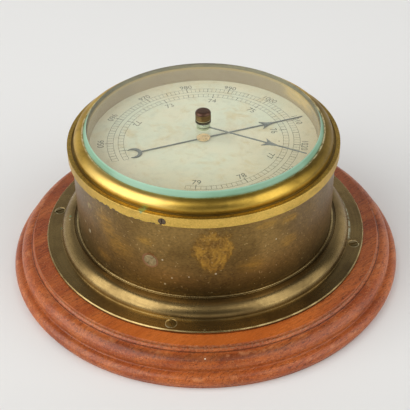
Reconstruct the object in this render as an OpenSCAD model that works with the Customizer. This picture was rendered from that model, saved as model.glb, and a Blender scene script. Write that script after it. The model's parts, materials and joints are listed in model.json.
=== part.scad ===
// Marine bulkhead barometer on a turned wooden board.
// The origin is the centre of the board's back face, and +Z points out through the glass.
// Angles run counter-clockwise from +X, seen from the glass. The dial stands turned, as found.

/* [Wooden board] */
// Radius over the lowest bead
board_r = 127; // [125:0.5:132]
// Height of the flat that carries the flange
board_h = 22; // [20.5:0.5:26]
// Radius of the flat on top
board_flat_r = 113; // [109:0.5:114]
// Radius of the lowest bead's round
bead_r = 4.4; // [4:0.1:5]
// Width of the step from the plinth to the bead's outside
plinth_step = 1.6; // [0.8:0.1:2.4]
// Height of the plinth under the bead
plinth_h = 1.2; // [0.6:0.1:1.6]
// Radius over the big torus
torus_reach = 121.7; // [120:0.1:123]
// Radius of the big torus's round
torus_r = 5.9; // [5.6:0.1:6.4]
// Height of the big torus's centre
torus_z = 11.8; // [11:0.1:12.2]
// Width of the step between the torus and the flat
cove_w = 1.8; // [1:0.1:2.4]
// Height of the step above the torus's centre
cove_rise = 6.4; // [5.9:0.1:7]
// Radius of the hole for a screwdriver, on the axis
access_r = 5; // [4:0.5:7]

/* [Mounting flange] */
// Width of the flat flange outside the foot moulding
flange_w = 9.6; // [8:0.1:13]
// Thickness of the flange
flange_t = 2; // [1.6:0.1:3]
// Chamfer on the flange's front edge
flange_chamfer = 0.6; // [0.3:0.1:1]
// Width of the foot moulding outside the drum
foot_w = 12.1; // [11:0.1:13]
// Radius of the foot moulding's quarter round
foot_round = 7.6; // [7:0.1:8]
// Height of the foot moulding's upright edge
foot_lip = 0.6; // [0.3:0.1:1]
// Width of the groove behind the quarter round
foot_groove_w = 1.7; // [1:0.1:2]
// Depth of the groove behind the quarter round
foot_groove_d = 1; // [0.5:0.1:2]
// Width of the thin ring that closes on the drum
foot_ring_w = 1.4; // [1:0.1:2]
// How far the thin ring stands above the quarter round
foot_ring_rise = 0.5; // [0.2:0.1:1]

/* [Flange screws] */
// Distance of the wood screws' centres inside the flange's edge
flange_screw_inset = 5.4; // [4.5:0.1:5.5]
// Angle of the front wood screw
flange_screw_front = -102.3; // [-110:0.1:-95]
// Angle of the right one
flange_screw_right = -15.5; // [-25:0.1:-5]
// Angle of the left one
flange_screw_left = 171.8; // [160:0.1:180]
// Head radius
flange_head_r = 3.7; // [3:0.1:3.9]
// Shank radius
flange_shank_r = 1.9; // [1.5:0.1:2.2]
// Length of the whole screw
flange_screw_l = 16; // [10:1:18]
// Turn of their slots
flange_slot_turn = 35; // [0:5:90]

/* [Case drum] */
// Outer radius of the drum
drum_r = 82.3; // [81:0.1:84]
// Wall of the drum
drum_wall = 1.6; // [1.3:0.1:2]
// Height of the drum above the board
drum_h = 68.5; // [66:0.5:76]
// Thickness of the back
back_t = 2; // [1.5:0.1:3]
// Height of the back's upturned rim
back_rim_h = 6; // [4:0.5:8]
// Thickness of the back's upturned rim
back_rim_t = 1.5; // [1:0.1:2]

/* [Bezel] */
// Wall of the band around the drum
band_wall = 2.3; // [2:0.1:2.8]
// Height of the band
band_h = 6.5; // [6:0.1:8]
// How far the band laps over the drum
band_lap = 5; // [4:0.1:5.5]
// Width of the flat on top of the band
band_land = 2.7; // [2.2:0.1:3]
// Width of the groove inside the band
groove_w = 1.5; // [1:0.1:2]
// Depth of the groove below the band's top
groove_d = 1; // [0.5:0.1:1.2]
// Height from the band's top to the centre of the quarter round
round_rise = 1.5; // [1:0.1:2.5]
// Radius of the bezel's quarter round
round_r = 5.6; // [5.2:0.1:6]
// Radius of the bezel screws' heads
bezel_head_r = 2.3; // [1.8:0.1:2.4]
// Radius of the bezel screws' shanks
bezel_shank_r = 1.2; // [0.9:0.1:1.5]
// Number of bezel screws
bezel_screw_n = 3; // [2:1:6]
// Angle of the first bezel screw
bezel_screw_angle = -106.6; // [-180:0.1:180]
// Height of the bezel screws above the band's lower edge
bezel_screw_rise = 2.7; // [2.5:0.1:3.2]
// How far the bezel screws' heads stand out of the band
bezel_screw_proud = 0.2; // [0.1:0.1:0.4]
// Turn of the bezel screws' slots
bezel_slot_turn = 5; // [0:5:90]

/* [Glass and sight ring] */
// Distance of the glass's edge inside the drum's outside
glass_inset = 7.1; // [6.7:0.1:8.3]
// Thickness of the glass
glass_t = 5.5; // [4.5:0.1:6.5]
// Height of the glass's upright edge
glass_edge_h = 0.5; // [0.3:0.1:1]
// Width of the glass's bevel
bevel_w = 3.1; // [2.5:0.1:3.5]
// Depth of the glass's back below the bezel's lip
glass_drop = 2.3; // [1.8:0.1:2.8]
// Thickness of the seal behind the glass
gasket_t = 0.5; // [0.3:0.1:1]
// Width of the sight ring's top flange, which the glass rests on
glass_rest = 4.1; // [3.7:0.1:6]
// Wall of the sight ring
sight_wall = 1.4; // [1:0.1:1.6]
// Height of the sight ring
sight_h = 10.1; // [9.5:0.1:11]
// Thickness of the sight ring's top flange
sight_flange_t = 1; // [0.8:0.1:1.5]

/* [Dial] */
// Thickness of the dial plate
dial_t = 1.2; // [0.8:0.1:1.6]
// Gap between the dial's edge and the drum
dial_edge_gap = 1.2; // [0.5:0.1:2]
// Radius of the dial's centre hole
dial_hole_r = 3; // [2.5:0.1:4]
// Thickness of the carrier ring's flange under the dial
carrier_flange_t = 1.5; // [1.2:0.1:2]
// Width of the carrier ring's flange
carrier_flange_w = 7; // [6.5:0.1:9]
// Height of the carrier ring
carrier_h = 15.5; // [14.5:0.5:17]
// Wall of the carrier ring
carrier_wall = 2; // [1.6:0.1:2.5]
// Depth of the carrier screws below the dial's face
carrier_screw_drop = 13.5; // [12:0.1:14]
// Angle of the first carrier screw
carrier_screw_angle = -147; // [-180:1:180]
// Head radius of the carrier screws
carrier_head_r = 2.2; // [1.8:0.1:2.6]
// Turn of the carrier screws' slots
carrier_slot_turn = 25; // [0:5:90]
// Number of screws in the dial
dial_screw_n = 3; // [2:1:6]
// Distance of the dial screws from the drum's inner wall
dial_screw_inset = 4.6; // [4.4:0.1:5]
// Head radius of the dial screws
dial_head_r = 1.6; // [1.2:0.1:2]
// Head height of the dial screws
dial_head_h = 1.1; // [0.8:0.1:1.4]

/* [Main plate] */
// Depth of the main plate's face below the dial
movement_depth = 24; // [24:0.5:27]
// Thickness of the main plate
plate_t = 2; // [1.6:0.1:2.5]
// Height of the main plate's rim
plate_rim_h = 9; // [8:0.5:10]
// Thickness of the main plate's rim
plate_rim_t = 3; // [2.5:0.1:4]
// Depth of the main plate's screws below its face
plate_screw_drop = 5.8; // [5:0.1:6]
// Angle of the first main plate screw
plate_screw_angle = -113.2; // [-180:0.1:180]
// Head radius of the main plate's screws
plate_head_r = 4; // [3:0.1:4.2]
// Length of the radial screws behind their heads
radial_shank_l = 2.4; // [2:0.1:2.8]
// Turn of the main plate screws' slots
plate_slot_turn = -38; // [-90:1:90]

/* [Bridge] */
// Height of the pillars under the bridge plate
bridge_pillar_h = 19; // [18.5:0.5:20]
// Radius of the bridge pillars
bridge_pillar_r = 3.5; // [3:0.1:4.5]
// Thickness of the bridge plate
bridge_t = 2; // [1.6:0.1:2.4]
// Half width of the bridge plate's bars
bridge_bar = 6; // [5:0.5:8]
// How far the round bosses at the ends of the bars stand past their sides
bar_boss = 0.5; // [0.3:0.1:1]
// Sideways reach of the two upper pillars
bridge_reach_x = 30; // [28:0.5:36]
// Distance of the two upper pillars above the centre
bridge_reach_y = 12; // [10:0.5:18]
// Distance of the third pillar below the sector's arbor
bridge_reach_low = 28.5; // [28:0.5:30]
// Distance of the third pillar beside the sector's arbor
bridge_side_low = 5.5; // [5.5:0.5:7]
// Radius of the bridge plate's middle
bridge_middle_r = 9; // [8.5:0.5:12]
// Radius of all pillars' spigots
pillar_spigot_r = 1.5; // [1.2:0.1:1.8]
// Shank radius of the screws in the pillars
pillar_shank_r = 1.2; // [1:0.1:1.4]
// Head radius of the screws in the pillars
pillar_head_r = 2.4; // [2:0.1:2.8]
// Head height of the screws in the pillars
pillar_head_h = 1.2; // [0.9:0.1:1.4]
// Depth of the screws in the pillars
pillar_screw_depth = 4; // [3:0.5:5]

/* [Wheelwork] */
// Tooth module
tooth_module = 0.5; // [0.45:0.01:0.55]
// Teeth of the pinion
pinion_teeth = 14; // [14:2:18]
// Teeth that a whole sector wheel would have
sector_teeth = 120; // [112:2:124]
// Play between the teeth, along the pitch line
tooth_play = 0.14; // [0.1:0.01:0.2]
// Radius of the arbors
arbor_r = 1.2; // [1:0.05:1.5]
// Radius of the arbors' pivots
pivot_r = 0.8; // [0.6:0.05:0.9]
// Thickness of the sector
sector_t = 1.6; // [1.2:0.1:2]
// Height of the sector above the main plate
sector_rise = 13.5; // [13:0.1:14]
// Length of the pinion's teeth
pinion_l = 4; // [3:0.1:4.5]
// Width of the sector's rim inside its teeth
sector_rim_w = 2.4; // [2:0.1:3]
// Half width of the sector's spokes and tail
sector_spoke = 1.6; // [1.3:0.1:2]
// Radius of the sector's hub
sector_hub_r = 3.4; // [3:0.1:4]
// Radius of the sector's tail, to its pin
tail_l = 17; // [15:0.5:19]
// Radius of the sector's tail pin
tail_pin_r = 0.8; // [0.6:0.1:1]
// How far the tail pin hangs below the sector
tail_pin_drop = 4.5; // [4.2:0.1:5]
// Height of the hairspring above the main plate
hairspring_rise = 3; // [2.5:0.1:5]
// Height of the hairspring's blade
hairspring_h = 1.2; // [0.8:0.1:1.6]
// Thickness of the hairspring's blade
hairspring_t = 0.35; // [0.25:0.05:0.5]
// Distance between the hairspring's turns
hairspring_pitch = 1.8; // [1.5:0.1:2]
// Number of turns in the hairspring
hairspring_turns = 6; // [4:1:7]
// Radius of the hairspring's collet
collet_r = 2.4; // [2:0.1:3]
// How far the collet and the stud stand past the hairspring's blade
blade_margin = 0.6; // [0.4:0.1:0.8]
// Radius of the hairspring's stud
stud_r = 0.8; // [0.6:0.1:1]
// Radius of the stud's foot
stud_foot_r = 1.8; // [1.5:0.1:2.2]
// Height of the stud's foot
stud_foot_h = 1.2; // [0.8:0.1:1.6]
// Angle of the stud
stud_angle = 40; // [20:5:60]
// Radius of the collar on the sector's arbor
arbor_collar_r = 1.9; // [1.6:0.1:2.4]
// Height of the collar on the sector's arbor
arbor_collar_h = 1; // [0.6:0.1:1.4]

/* [Rocking shaft] */
// Radius of the rocking shaft
shaft_r = 1.5; // [1.2:0.1:1.8]
// Depth of the rocking shaft below the main plate
shaft_drop = 4; // [4:0.1:5]
// Length of the arm that the capsules turn
capsule_arm_l = 4; // [3.5:0.1:5]
// Radius of the collars that hold the arms
collar_r = 2.6; // [2.4:0.1:2.8]
// Length of the rocking arm's cross pin
cross_pin_l = 6; // [5.5:0.1:7]
// Thickness of the arms
arm_t = 1.4; // [1:0.1:1.8]
// Radius of the two pins at the arms' ends
arm_pin_r = 0.7; // [0.5:0.05:0.8]
// Play between the rocking arm's pin and the sector's pin
drive_play = 0.15; // [0.1:0.01:0.3]
// Thickness of the shaft's brackets
bracket_t = 2; // [1.5:0.1:2.5]
// Width of the shaft's brackets
bracket_w = 9; // [8:0.5:12]
// Length of the foot of each bracket
bracket_foot = 7; // [6:0.5:9]
// How far the brackets reach below the shaft's axis
bracket_below = 2.5; // [2:0.1:3]
// Distance of the near bracket behind the axis
near_bracket_y = 6; // [5.5:0.5:7]
// Gap between the cross pin and the far bracket
far_bracket_gap = 1; // [0.5:0.1:1.5]
// Shank radius of the bracket screws
bracket_shank_r = 1; // [0.8:0.1:1.2]
// Head radius of the bracket screws
bracket_head_r = 1.9; // [1.6:0.1:2.2]
// Head height of the bracket screws
bracket_head_h = 1.1; // [0.8:0.1:1.3]
// Length of the rocking arm's collar
collar_l = 4.2; // [3.5:0.1:5]
// Half height of the short arm
capsule_arm_half = 1.2; // [1:0.1:1.4]
// Room at each end of the rocking arm's slot in the main plate
arm_slot_end = 1.5; // [1:0.1:2.5]
// Room at each side of the rocking arm's slot in the main plate
arm_slot_side = 1; // [0.6:0.1:1.5]

/* [Vacuum capsules] */
// Radius of the capsules
capsule_r = 27; // [25:0.5:30]
// Share of the height between the adjusting screw and the link that the capsules' foot takes
foot_share = 0.4; // [0.35:0.01:0.43]
// Height of one capsule at its soldered rim
capsule_rim_h = 1.2; // [0.8:0.1:1.6]
// Depth of the corrugations
ripple_h = 0.9; // [0.6:0.1:1.1]
// Number of corrugations
ripple_n = 4; // [3:1:5]
// Radius of a corrugation as a share of the distance between two
ripple_share = 0.36; // [0.3:0.01:0.42]
// Width of the soldered rim
capsule_rim_w = 3; // [2.5:0.1:3.5]
// Width of the plain band at both ends of the corrugations
ripple_margin = 2; // [1.5:0.1:2.5]
// Radius of the bosses at the middle
boss_r = 4; // [3.5:0.1:5]
// Height of the boss between the capsules
boss_h = 1; // [0.8:0.1:1.6]
// Length of the link between the capsules and the shaft
link_l = 5; // [5:0.1:6]
// Thickness of the link
link_t = 1.2; // [1:0.1:1.4]
// Half width of the link's shank
link_half_w = 1.1; // [0.9:0.1:1.3]
// Play of the short arm's pin in the link's eye
link_play = 0.4; // [0.35:0.05:0.5]
// Wall round the link's eye
link_eye_wall = 1; // [0.8:0.1:1.2]
// Gap between the link and the short arm
link_side_gap = 0.4; // [0.2:0.1:0.6]
// Radius of the link's lower pin
link_pin_r = 0.42; // [0.35:0.01:0.5]
// Radius of the fork on top of the capsules
fork_r = 1.7; // [1.5:0.1:2]
// Height of the fork
fork_h = 2.2; // [2.1:0.1:2.5]
// Height of the floor of the fork's slot
fork_floor = 0.6; // [0.4:0.1:0.8]
// Height of the link's lower pin above the capsules
fork_pin_rise = 1.5; // [1.4:0.1:1.6]
// Radius of the adjusting screw
adjuster_r = 4; // [3:0.1:5]
// How far the adjusting screw stands above the lower plate
adjuster_rise = 0.5; // [0.3:0.1:1]
// Gap between the adjusting screw and the back
adjuster_back_gap = 1; // [0.6:0.1:1.5]
// Depth of the adjusting screw's slot
adjuster_slot_d = 1.2; // [0.8:0.1:1.5]
// Radius of the capsules' foot
capsule_foot_r = 6.4; // [5.5:0.1:8]
// Thickness of the capsules' foot
capsule_foot_t = 1.5; // [1:0.1:2]
// Gap under the lower plate
lower_gap = 2.8; // [2.5:0.1:4]
// Thickness of the lower plate
lower_t = 2.5; // [2:0.1:3]
// Distance of the lower pillars from the axis
lower_pillar_circle = 36; // [35:0.5:40]
// Radius of the lower pillars
lower_pillar_r = 3; // [2.5:0.1:4]
// Half width of the lower plate's arms
lower_bar = 5.4; // [4.5:0.1:6.5]
// Radius of the lower plate's middle
lower_middle_r = 12; // [10:0.5:14]

/* [Main hand] */
// Angle of the main hand at rest
pointer_angle = 19.7; // [0:0.1:45]
// Gap between the dial and the main hand
pointer_gap = 0.4; // [0.3:0.1:1.5]
// Thickness of both hands
hand_t = 0.5; // [0.4:0.05:0.7]
// Half width of both hands' stems
hand_stem = 0.65; // [0.5:0.05:0.8]
// Gap between the main hand's tip and the sight ring
pointer_tip_gap = 3.5; // [2:0.5:7]
// Where the barbs of the main hand's arrow begin
pointer_barb = 38.8; // [36:0.1:42]
// Half width of the arrows
arrow_w = 4; // [3:0.1:4.5]
// Length of the arrows
arrow_l = 9; // [7:0.1:10]
// Depth of the notch between the arrows' barbs
arrow_notch = 2.2; // [1.5:0.1:3]
// Where the arrows' flanks bend, as a share of their length
arrow_bend_at = 0.45; // [0.35:0.01:0.55]
// Half width at that bend, as a share of the arrow's
arrow_bend_w = 0.42; // [0.35:0.01:0.5]
// Half width of the needles' tips
needle_half = 0.42; // [0.3:0.02:0.5]
// Distance of the crescent's middle behind the hub
crescent_at = 45.3; // [42:0.1:47]
// Outer radius of the crescent
crescent_r = 5; // [4.8:0.1:5.5]
// Radius of the crescent's hollow
crescent_in_r = 4.2; // [3.8:0.1:4.4]
// Distance between the centres of the crescent and its hollow
crescent_shift = 1.7; // [1.4:0.1:2]
// Half width of the main hand's tail
tail_half = 0.52; // [0.4:0.02:0.7]
// Radius of the main hand's eye
pointer_eye_r = 3.1; // [2.6:0.1:3.4]
// Radius of the main hand's hub
hub_r = 4.3; // [3.6:0.1:4.6]
// Height of the main hand's hub
hub_h = 0.6; // [0.5:0.1:1.4]
// How far the arbor's tip stays below the hub's face
tip_drop = 0.2; // [0.1:0.1:0.4]

/* [Set hand and knob] */
// Angle of the set hand at rest
set_angle = -27.9; // [-60:0.1:0]
// Gap between the set hand's tip and the sight ring
set_tip_gap = 2; // [1.5:0.5:6]
// Where the barbs of the set hand's arrow begin
set_barb = 41; // [38:0.1:44]
// Radius of the set hand's eye
set_eye_r = 3.6; // [3:0.1:4]
// Gap between the set hand and the spring washer
set_hand_gap = 0.3; // [0.2:0.1:0.5]
// Radius of the washer and the nut under the glass
set_nut_r = 4.2; // [3.8:0.1:4.6]
// Height of the nut under the set hand
set_nut_h = 1; // [0.8:0.1:1.4]
// Thickness of the spring washer
spring_washer_t = 0.3; // [0.2:0.05:0.5]
// Radius of the knob's spindle
spindle_r = 2; // [1.6:0.1:2.4]
// Radius of the knob
knob_r = 4.85; // [4.4:0.05:5.4]
// Depth of the spindle in the knob
spindle_grip = 3; // [2:0.1:4]
// Height of the washer under the knob
knob_washer_h = 1.1; // [0.8:0.1:1.5]
// Height of the plain ring at the knob's foot
knob_ring_h = 0.6; // [0.4:0.1:1]
// Height of the knurled part of the knob
knurl_h = 4.2; // [3.6:0.1:5]
// Number of grooves in the knurling
knurl_n = 30; // [20:1:40]
// Depth of the knurling
knurl_d = 0.35; // [0.2:0.05:0.5]
// How far the knurling lies inside the dome's edge
knurl_inset = 0.06; // [0.03:0.01:0.1]
// Height of the knob's domed top
dome_h = 1.7; // [1.2:0.1:2]

/* [Screw slots] */
// Width of a slot as a share of its head's radius
slot_w_share = 0.26; // [0.2:0.01:0.35]
// Depth of a slot as a share of its head's height
slot_d_share = 0.4; // [0.3:0.01:0.5]

/* [Clearances] */
// Radial clearance of pieces that are pressed or soldered together
snug = 0.02; // [0.01:0.01:0.05]
// Clearance of pieces that turn or slide
run_gap = 0.06; // [0.04:0.01:0.08]
// Clearance of pieces that are put together by hand
hand_gap = 0.1; // [0.08:0.01:0.2]

/* [Hidden] */
$fn = 96;
// How far a cutting shape reaches past what it cuts
past = 1;

// Colours
mahogany = "#8a3b17";
old_brass = "#6b5a2e";
patina = "#75613f";
gold_brass = "#c79b35";
bright_brass = "#b98a4a";
steel = "#8d9298";
blued_steel = "#5f6871";
glass_green = "#9fd8bd80";
silvered = "#d1d2b9";
sealing = "#4b443a";

// Heights
flange_z = board_h + flange_t;
drum_top = board_h + drum_h;
band_z = drum_top - band_lap;
band_top = band_z + band_h;
lip_z = band_top + round_rise + round_r;
glass_z = lip_z - glass_drop;
glass_top = glass_z + glass_t;
sight_z = glass_z - gasket_t - sight_h;
dial_z = sight_z - dial_t;
plate_z = dial_z - movement_depth;
plate_under = plate_z - plate_t;
shaft_z = plate_under - shaft_drop;
bridge_z = plate_z + bridge_pillar_h;
bridge_top = bridge_z + bridge_t;
sector_z = plate_z + sector_rise;
back_top = board_h + back_t;
lower_z = back_top + lower_gap;
lower_top = lower_z + lower_t;
adjuster_top = lower_top + adjuster_rise;
capsules_top = shaft_z - link_l;
foot_z = adjuster_top + run_gap;
capsules_z = foot_z + foot_share * (capsules_top - foot_z);
capsule_h = (capsules_top - capsules_z - boss_h) / 2;
pointer_z = sight_z + pointer_gap;
washer_z = glass_z - spring_washer_t;
set_z = washer_z - set_hand_gap - hand_t;
knob_z = glass_top + knob_washer_h + run_gap;
knurl_z = knob_z + knob_ring_h;
dome_z = knurl_z + knurl_h;

// Radii
drum_in = drum_r - drum_wall;
foot_reach = drum_r + foot_w;
flange_r = foot_reach + flange_w;
flange_screw_circle = flange_r - flange_screw_inset;
glass_r = drum_r - glass_inset;
sight_r = glass_r - hand_gap - glass_rest;
pointer_l = sight_r - pointer_tip_gap;
set_l = sight_r - set_tip_gap;
band_r = drum_r + hand_gap + band_wall;
round_out = band_r - band_land - groove_w;
round_at = round_out - round_r;
glass_seat_r = glass_r + hand_gap;
ring_fit_r = drum_in - hand_gap;
board_step_r = board_flat_r + cove_w;

// Wheelwork
pinion_pitch_r = tooth_module * pinion_teeth / 2;
sector_pitch_r = tooth_module * sector_teeth / 2;
centre_distance = pinion_pitch_r + sector_pitch_r;
pressure_angle = 20;
addendum = 0.8 * tooth_module;
dedendum = 1.05 * tooth_module;
sector_pin_offset = tail_pin_r + arm_pin_r + drive_play;
shaft_x = -capsule_arm_l;
sector_x = shaft_x + sector_pin_offset;
sector_y = -sqrt(pow(centre_distance, 2) - pow(sector_x, 2));
sector_to_centre = atan2(-sector_y, -sector_x);
drive_y = sector_y - tail_l;
drive_pin_z = shaft_z + tail_l;
// The rocking arm stands beside the sector's pin, at the far end of its cross pin
rocking_arm_y = drive_y - cross_pin_l / 2 + arm_t / 2;
// The main hand turns this far each way from rest, over the whole scale
hand_swing_low = 181;
hand_swing_high = 125;
sector_swing_low = hand_swing_low * pinion_teeth / sector_teeth;
sector_swing_high = hand_swing_high * pinion_teeth / sector_teeth;
spare_angle = 5;

// Pillars
bridge_points = [
    [-bridge_reach_x, bridge_reach_y],
    [bridge_reach_x, bridge_reach_y],
    [sector_x + bridge_side_low, sector_y - bridge_reach_low],
];
lower_angles = [0, 120, 240];

// A slotted screw along Z, its head's underside at the origin
module slotted_screw(head_r, head_h, shank_r, shank_l) {
    slot_w = head_r * slot_w_share;
    slot_d = head_h * slot_d_share;
    difference() {
        union() {
            cylinder(r = head_r, h = head_h);
            translate([0, 0, -shank_l]) cylinder(r = shank_r, h = shank_l + head_h / 2);
        }
        translate([-head_r - past, -slot_w / 2, head_h - slot_d])
            cube([2 * (head_r + past), slot_w, head_h]);
    }
}

// A slotted countersunk screw along Z, its head's face at the origin
module flush_screw(head_r, head_h, shank_r, length) {
    slot_w = head_r * slot_w_share;
    slot_d = head_h * slot_d_share;
    difference() {
        union() {
            translate([0, 0, -head_h]) cylinder(r1 = shank_r, r2 = head_r, h = head_h);
            translate([0, 0, -length]) cylinder(r = shank_r, h = length - head_h / 2);
        }
        translate([-head_r - past, -slot_w / 2, -slot_d])
            cube([2 * (head_r + past), slot_w, head_h]);
    }
}

// The hole that a flush screw needs, a clearance wider all round
module flush_hole(head_r, head_h, shank_r, length) {
    translate([0, 0, -head_h])
        cylinder(r1 = shank_r + run_gap, r2 = head_r + run_gap, h = head_h);
    translate([0, 0, -length - run_gap]) cylinder(r = shank_r + run_gap, h = length);
    translate([0, 0, -run_gap]) cylinder(r = head_r + run_gap, h = head_h);
}

// Copies its children around the axis
module around(n, first = 0) {
    for (i = [0 : n - past])
        rotate([0, 0, first + i * 360 / n]) children();
}

// The wood screws stand a little unevenly
module flange_screw_places() {
    for (a = [flange_screw_front, flange_screw_right, flange_screw_front + 180, flange_screw_left])
        rotate(a) translate([flange_screw_circle, 0, flange_z]) children();
}

// Points a child's +Z outward along +X, at radius r and height z
module outward(r, z) {
    translate([r, 0, z]) rotate([0, 90, 0]) children();
}

// A flat bar from a to b, with a round boss a little wider than the bar at b
module bar_between(a, b, half_w) {
    d = b - a;
    translate(a) rotate(atan2(d[1], d[0])) translate([0, -half_w]) square([norm(d), 2 * half_w]);
    translate(b) circle(r = half_w + bar_boss);
}

module base_board() {
    bead_at = board_r - bead_r;
    torus_at = torus_reach - torus_r;
    cove_z = torus_z + cove_rise;
    color(mahogany)
    difference() {
        rotate_extrude() {
            square([board_r - plinth_step, plinth_h]);
            square([bead_at, bead_r]);
            translate([bead_at, bead_r]) circle(r = bead_r);
            translate([torus_at, torus_z]) circle(r = torus_r);
            polygon([[torus_at, bead_r], [bead_at, bead_r], [torus_at, torus_z]]);
            square([torus_at, torus_z]);
            square([board_step_r, cove_z]);
            square([board_flat_r, board_h]);
            difference() {
                translate([board_flat_r, cove_z]) square(cove_w);
                translate([board_step_r, cove_z + cove_w]) circle(r = cove_w);
            }
        }
        translate([0, 0, -past]) cylinder(r = access_r, h = board_h + 2 * past);
        flange_screw_places()
            flush_hole(flange_head_r, flange_t, flange_shank_r, flange_screw_l);
    }
}

module mounting_flange() {
    round_x = foot_reach - foot_round;
    round_z = flange_z + foot_lip;
    ring_r = drum_r + snug + foot_ring_w;
    color(old_brass)
    difference() {
        rotate_extrude()
            difference() {
                union() {
                    difference() {
                        translate([0, board_h]) square([flange_r, flange_t]);
                        translate([flange_r, flange_z]) rotate(45)
                            square(flange_chamfer * sqrt(2), center = true);
                    }
                    translate([0, board_h]) square([foot_reach, flange_t + foot_lip]);
                    intersection() {
                        translate([round_x, round_z]) circle(r = foot_round);
                        translate([0, board_h]) square([foot_reach, board_h + foot_round]);
                    }
                    translate([0, board_h]) square([round_x, round_z + foot_round - board_h]);
                    translate([0, board_h])
                        square([ring_r, round_z + foot_round + foot_ring_rise - board_h]);
                }
                translate([ring_r, round_z + foot_round - foot_groove_d])
                    square([foot_groove_w, foot_round]);
                square([drum_r + snug, drum_top]);
            }
        flange_screw_places()
            flush_hole(flange_head_r, flange_t, flange_shank_r, flange_screw_l);
    }
}

module flange_screws() {
    color(bright_brass)
    flange_screw_places()
        rotate(flange_slot_turn)
            flush_screw(flange_head_r, flange_t, flange_shank_r, flange_screw_l);
}

// The seats of the radial screws that pass through the drum's wall
module plate_screw_places() {
    around(2, plate_screw_angle) outward(drum_r, plate_z - plate_screw_drop) children();
}

module carrier_screw_places() {
    around(2, carrier_screw_angle) outward(drum_r, sight_z - carrier_screw_drop) children();
}

module bezel_screw_places() {
    around(bezel_screw_n, bezel_screw_angle) outward(drum_r, band_z + bezel_screw_rise) children();
}

radial_length = drum_wall + hand_gap + radial_shank_l;
carrier_length = drum_wall + hand_gap + carrier_wall;

module case_drum() {
    color(patina)
    difference() {
        rotate_extrude() translate([drum_in, board_h]) square([drum_wall, drum_h]);
        plate_screw_places()
            flush_hole(plate_head_r, drum_wall, plate_head_r / 2, radial_length);
        carrier_screw_places()
            flush_hole(carrier_head_r, drum_wall, carrier_head_r / 2, carrier_length);
        bezel_screw_places()
            translate([0, 0, -2 * drum_wall]) cylinder(r = bezel_shank_r + run_gap, h = 4 * drum_wall);
    }
}

module case_back() {
    back_r = drum_in - snug;
    color(patina)
    rotate_extrude() {
        translate([access_r, board_h]) square([back_r - access_r, back_t]);
        translate([back_r - back_rim_t, board_h]) square([back_rim_t, back_rim_h]);
    }
}

module bezel() {
    bore_r = drum_r + hand_gap;
    color(gold_brass)
    difference() {
        rotate_extrude()
            difference() {
                union() {
                    translate([0, band_z]) square([band_r, band_h]);
                    translate([0, band_z]) square([round_out, band_h + round_rise]);
                    intersection() {
                        translate([round_at, band_top + round_rise]) circle(r = round_r);
                        translate([0, band_top]) square([band_r, band_h + round_r]);
                    }
                    translate([0, band_z]) square([round_at, lip_z - band_z]);
                }
                translate([round_out, band_top - groove_d]) square([groove_w, band_h]);
                square([bore_r, drum_top + hand_gap]);
                square([glass_seat_r, glass_z + glass_edge_h]);
                // The lip leans inward over the glass's bevel
                glass_outline(hand_gap);
            }
        bezel_screw_places()
            cylinder(r = bezel_head_r + run_gap, h = 2 * band_wall);
    }
}

module bezel_screws() {
    head_h = hand_gap + band_wall + bezel_screw_proud;
    color(steel)
    bezel_screw_places()
        translate([0, 0, run_gap]) rotate(bezel_slot_turn)
            slotted_screw(bezel_head_r, head_h - run_gap, bezel_shank_r, drum_wall);
}

// The glass's section, a gap wider where it is the room that the bezel leaves
module glass_outline(gap = 0) {
    polygon([
        [0, glass_z], [glass_r + gap, glass_z], [glass_r + gap, glass_z + glass_edge_h],
        [glass_r + gap - bevel_w, glass_top], [0, glass_top],
    ]);
}

module bezel_glass() {
    color(glass_green)
    difference() {
        rotate_extrude() glass_outline();
        translate([0, 0, glass_z - past]) cylinder(r = spindle_r + run_gap, h = glass_t + 2 * past);
    }
}

module glass_gasket() {
    color(sealing)
    translate([0, 0, glass_z - gasket_t])
    difference() {
        cylinder(r = glass_r - hand_gap, h = gasket_t);
        translate([0, 0, -past]) cylinder(r = sight_r + sight_wall / 2, h = gasket_t + 2 * past);
    }
}

module sight_ring() {
    color("#a59476")
    rotate_extrude() {
        translate([sight_r, sight_z]) square([sight_wall, sight_h]);
        translate([sight_r, sight_z + sight_h - sight_flange_t])
            square([glass_rest, sight_flange_t]);
    }
}

dial_screw_circle = drum_in - dial_screw_inset;
dial_shank_r = dial_head_r / 2;

module dial() {
    color(silvered)
    translate([0, 0, dial_z])
    difference() {
        cylinder(r = drum_in - dial_edge_gap, h = dial_t);
        translate([0, 0, -past]) cylinder(r = dial_hole_r, h = dial_t + 2 * past);
        around(dial_screw_n) translate([dial_screw_circle, 0, -past])
            cylinder(r = dial_shank_r + run_gap, h = dial_t + 2 * past);
    }
}

module dial_screws() {
    color(bright_brass)
    around(dial_screw_n) translate([dial_screw_circle, 0, sight_z])
        slotted_screw(dial_head_r, dial_head_h, dial_shank_r, dial_t + carrier_flange_t);
}

module dial_carrier() {
    color(old_brass)
    difference() {
        rotate_extrude() {
            translate([ring_fit_r - carrier_wall, dial_z - carrier_h])
                square([carrier_wall, carrier_h]);
            translate([ring_fit_r - carrier_flange_w, dial_z - carrier_flange_t])
                square([carrier_flange_w, carrier_flange_t]);
        }
        around(dial_screw_n) translate([dial_screw_circle, 0, dial_z - 2 * carrier_flange_t])
            cylinder(r = dial_shank_r + run_gap, h = 2 * carrier_flange_t + past);
        carrier_screw_places()
            flush_hole(carrier_head_r, drum_wall, carrier_head_r / 2, carrier_length);
    }
}

module carrier_screws() {
    color(bright_brass)
    carrier_screw_places() rotate(carrier_slot_turn)
        flush_screw(carrier_head_r, drum_wall, carrier_head_r / 2, carrier_length);
}

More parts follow.
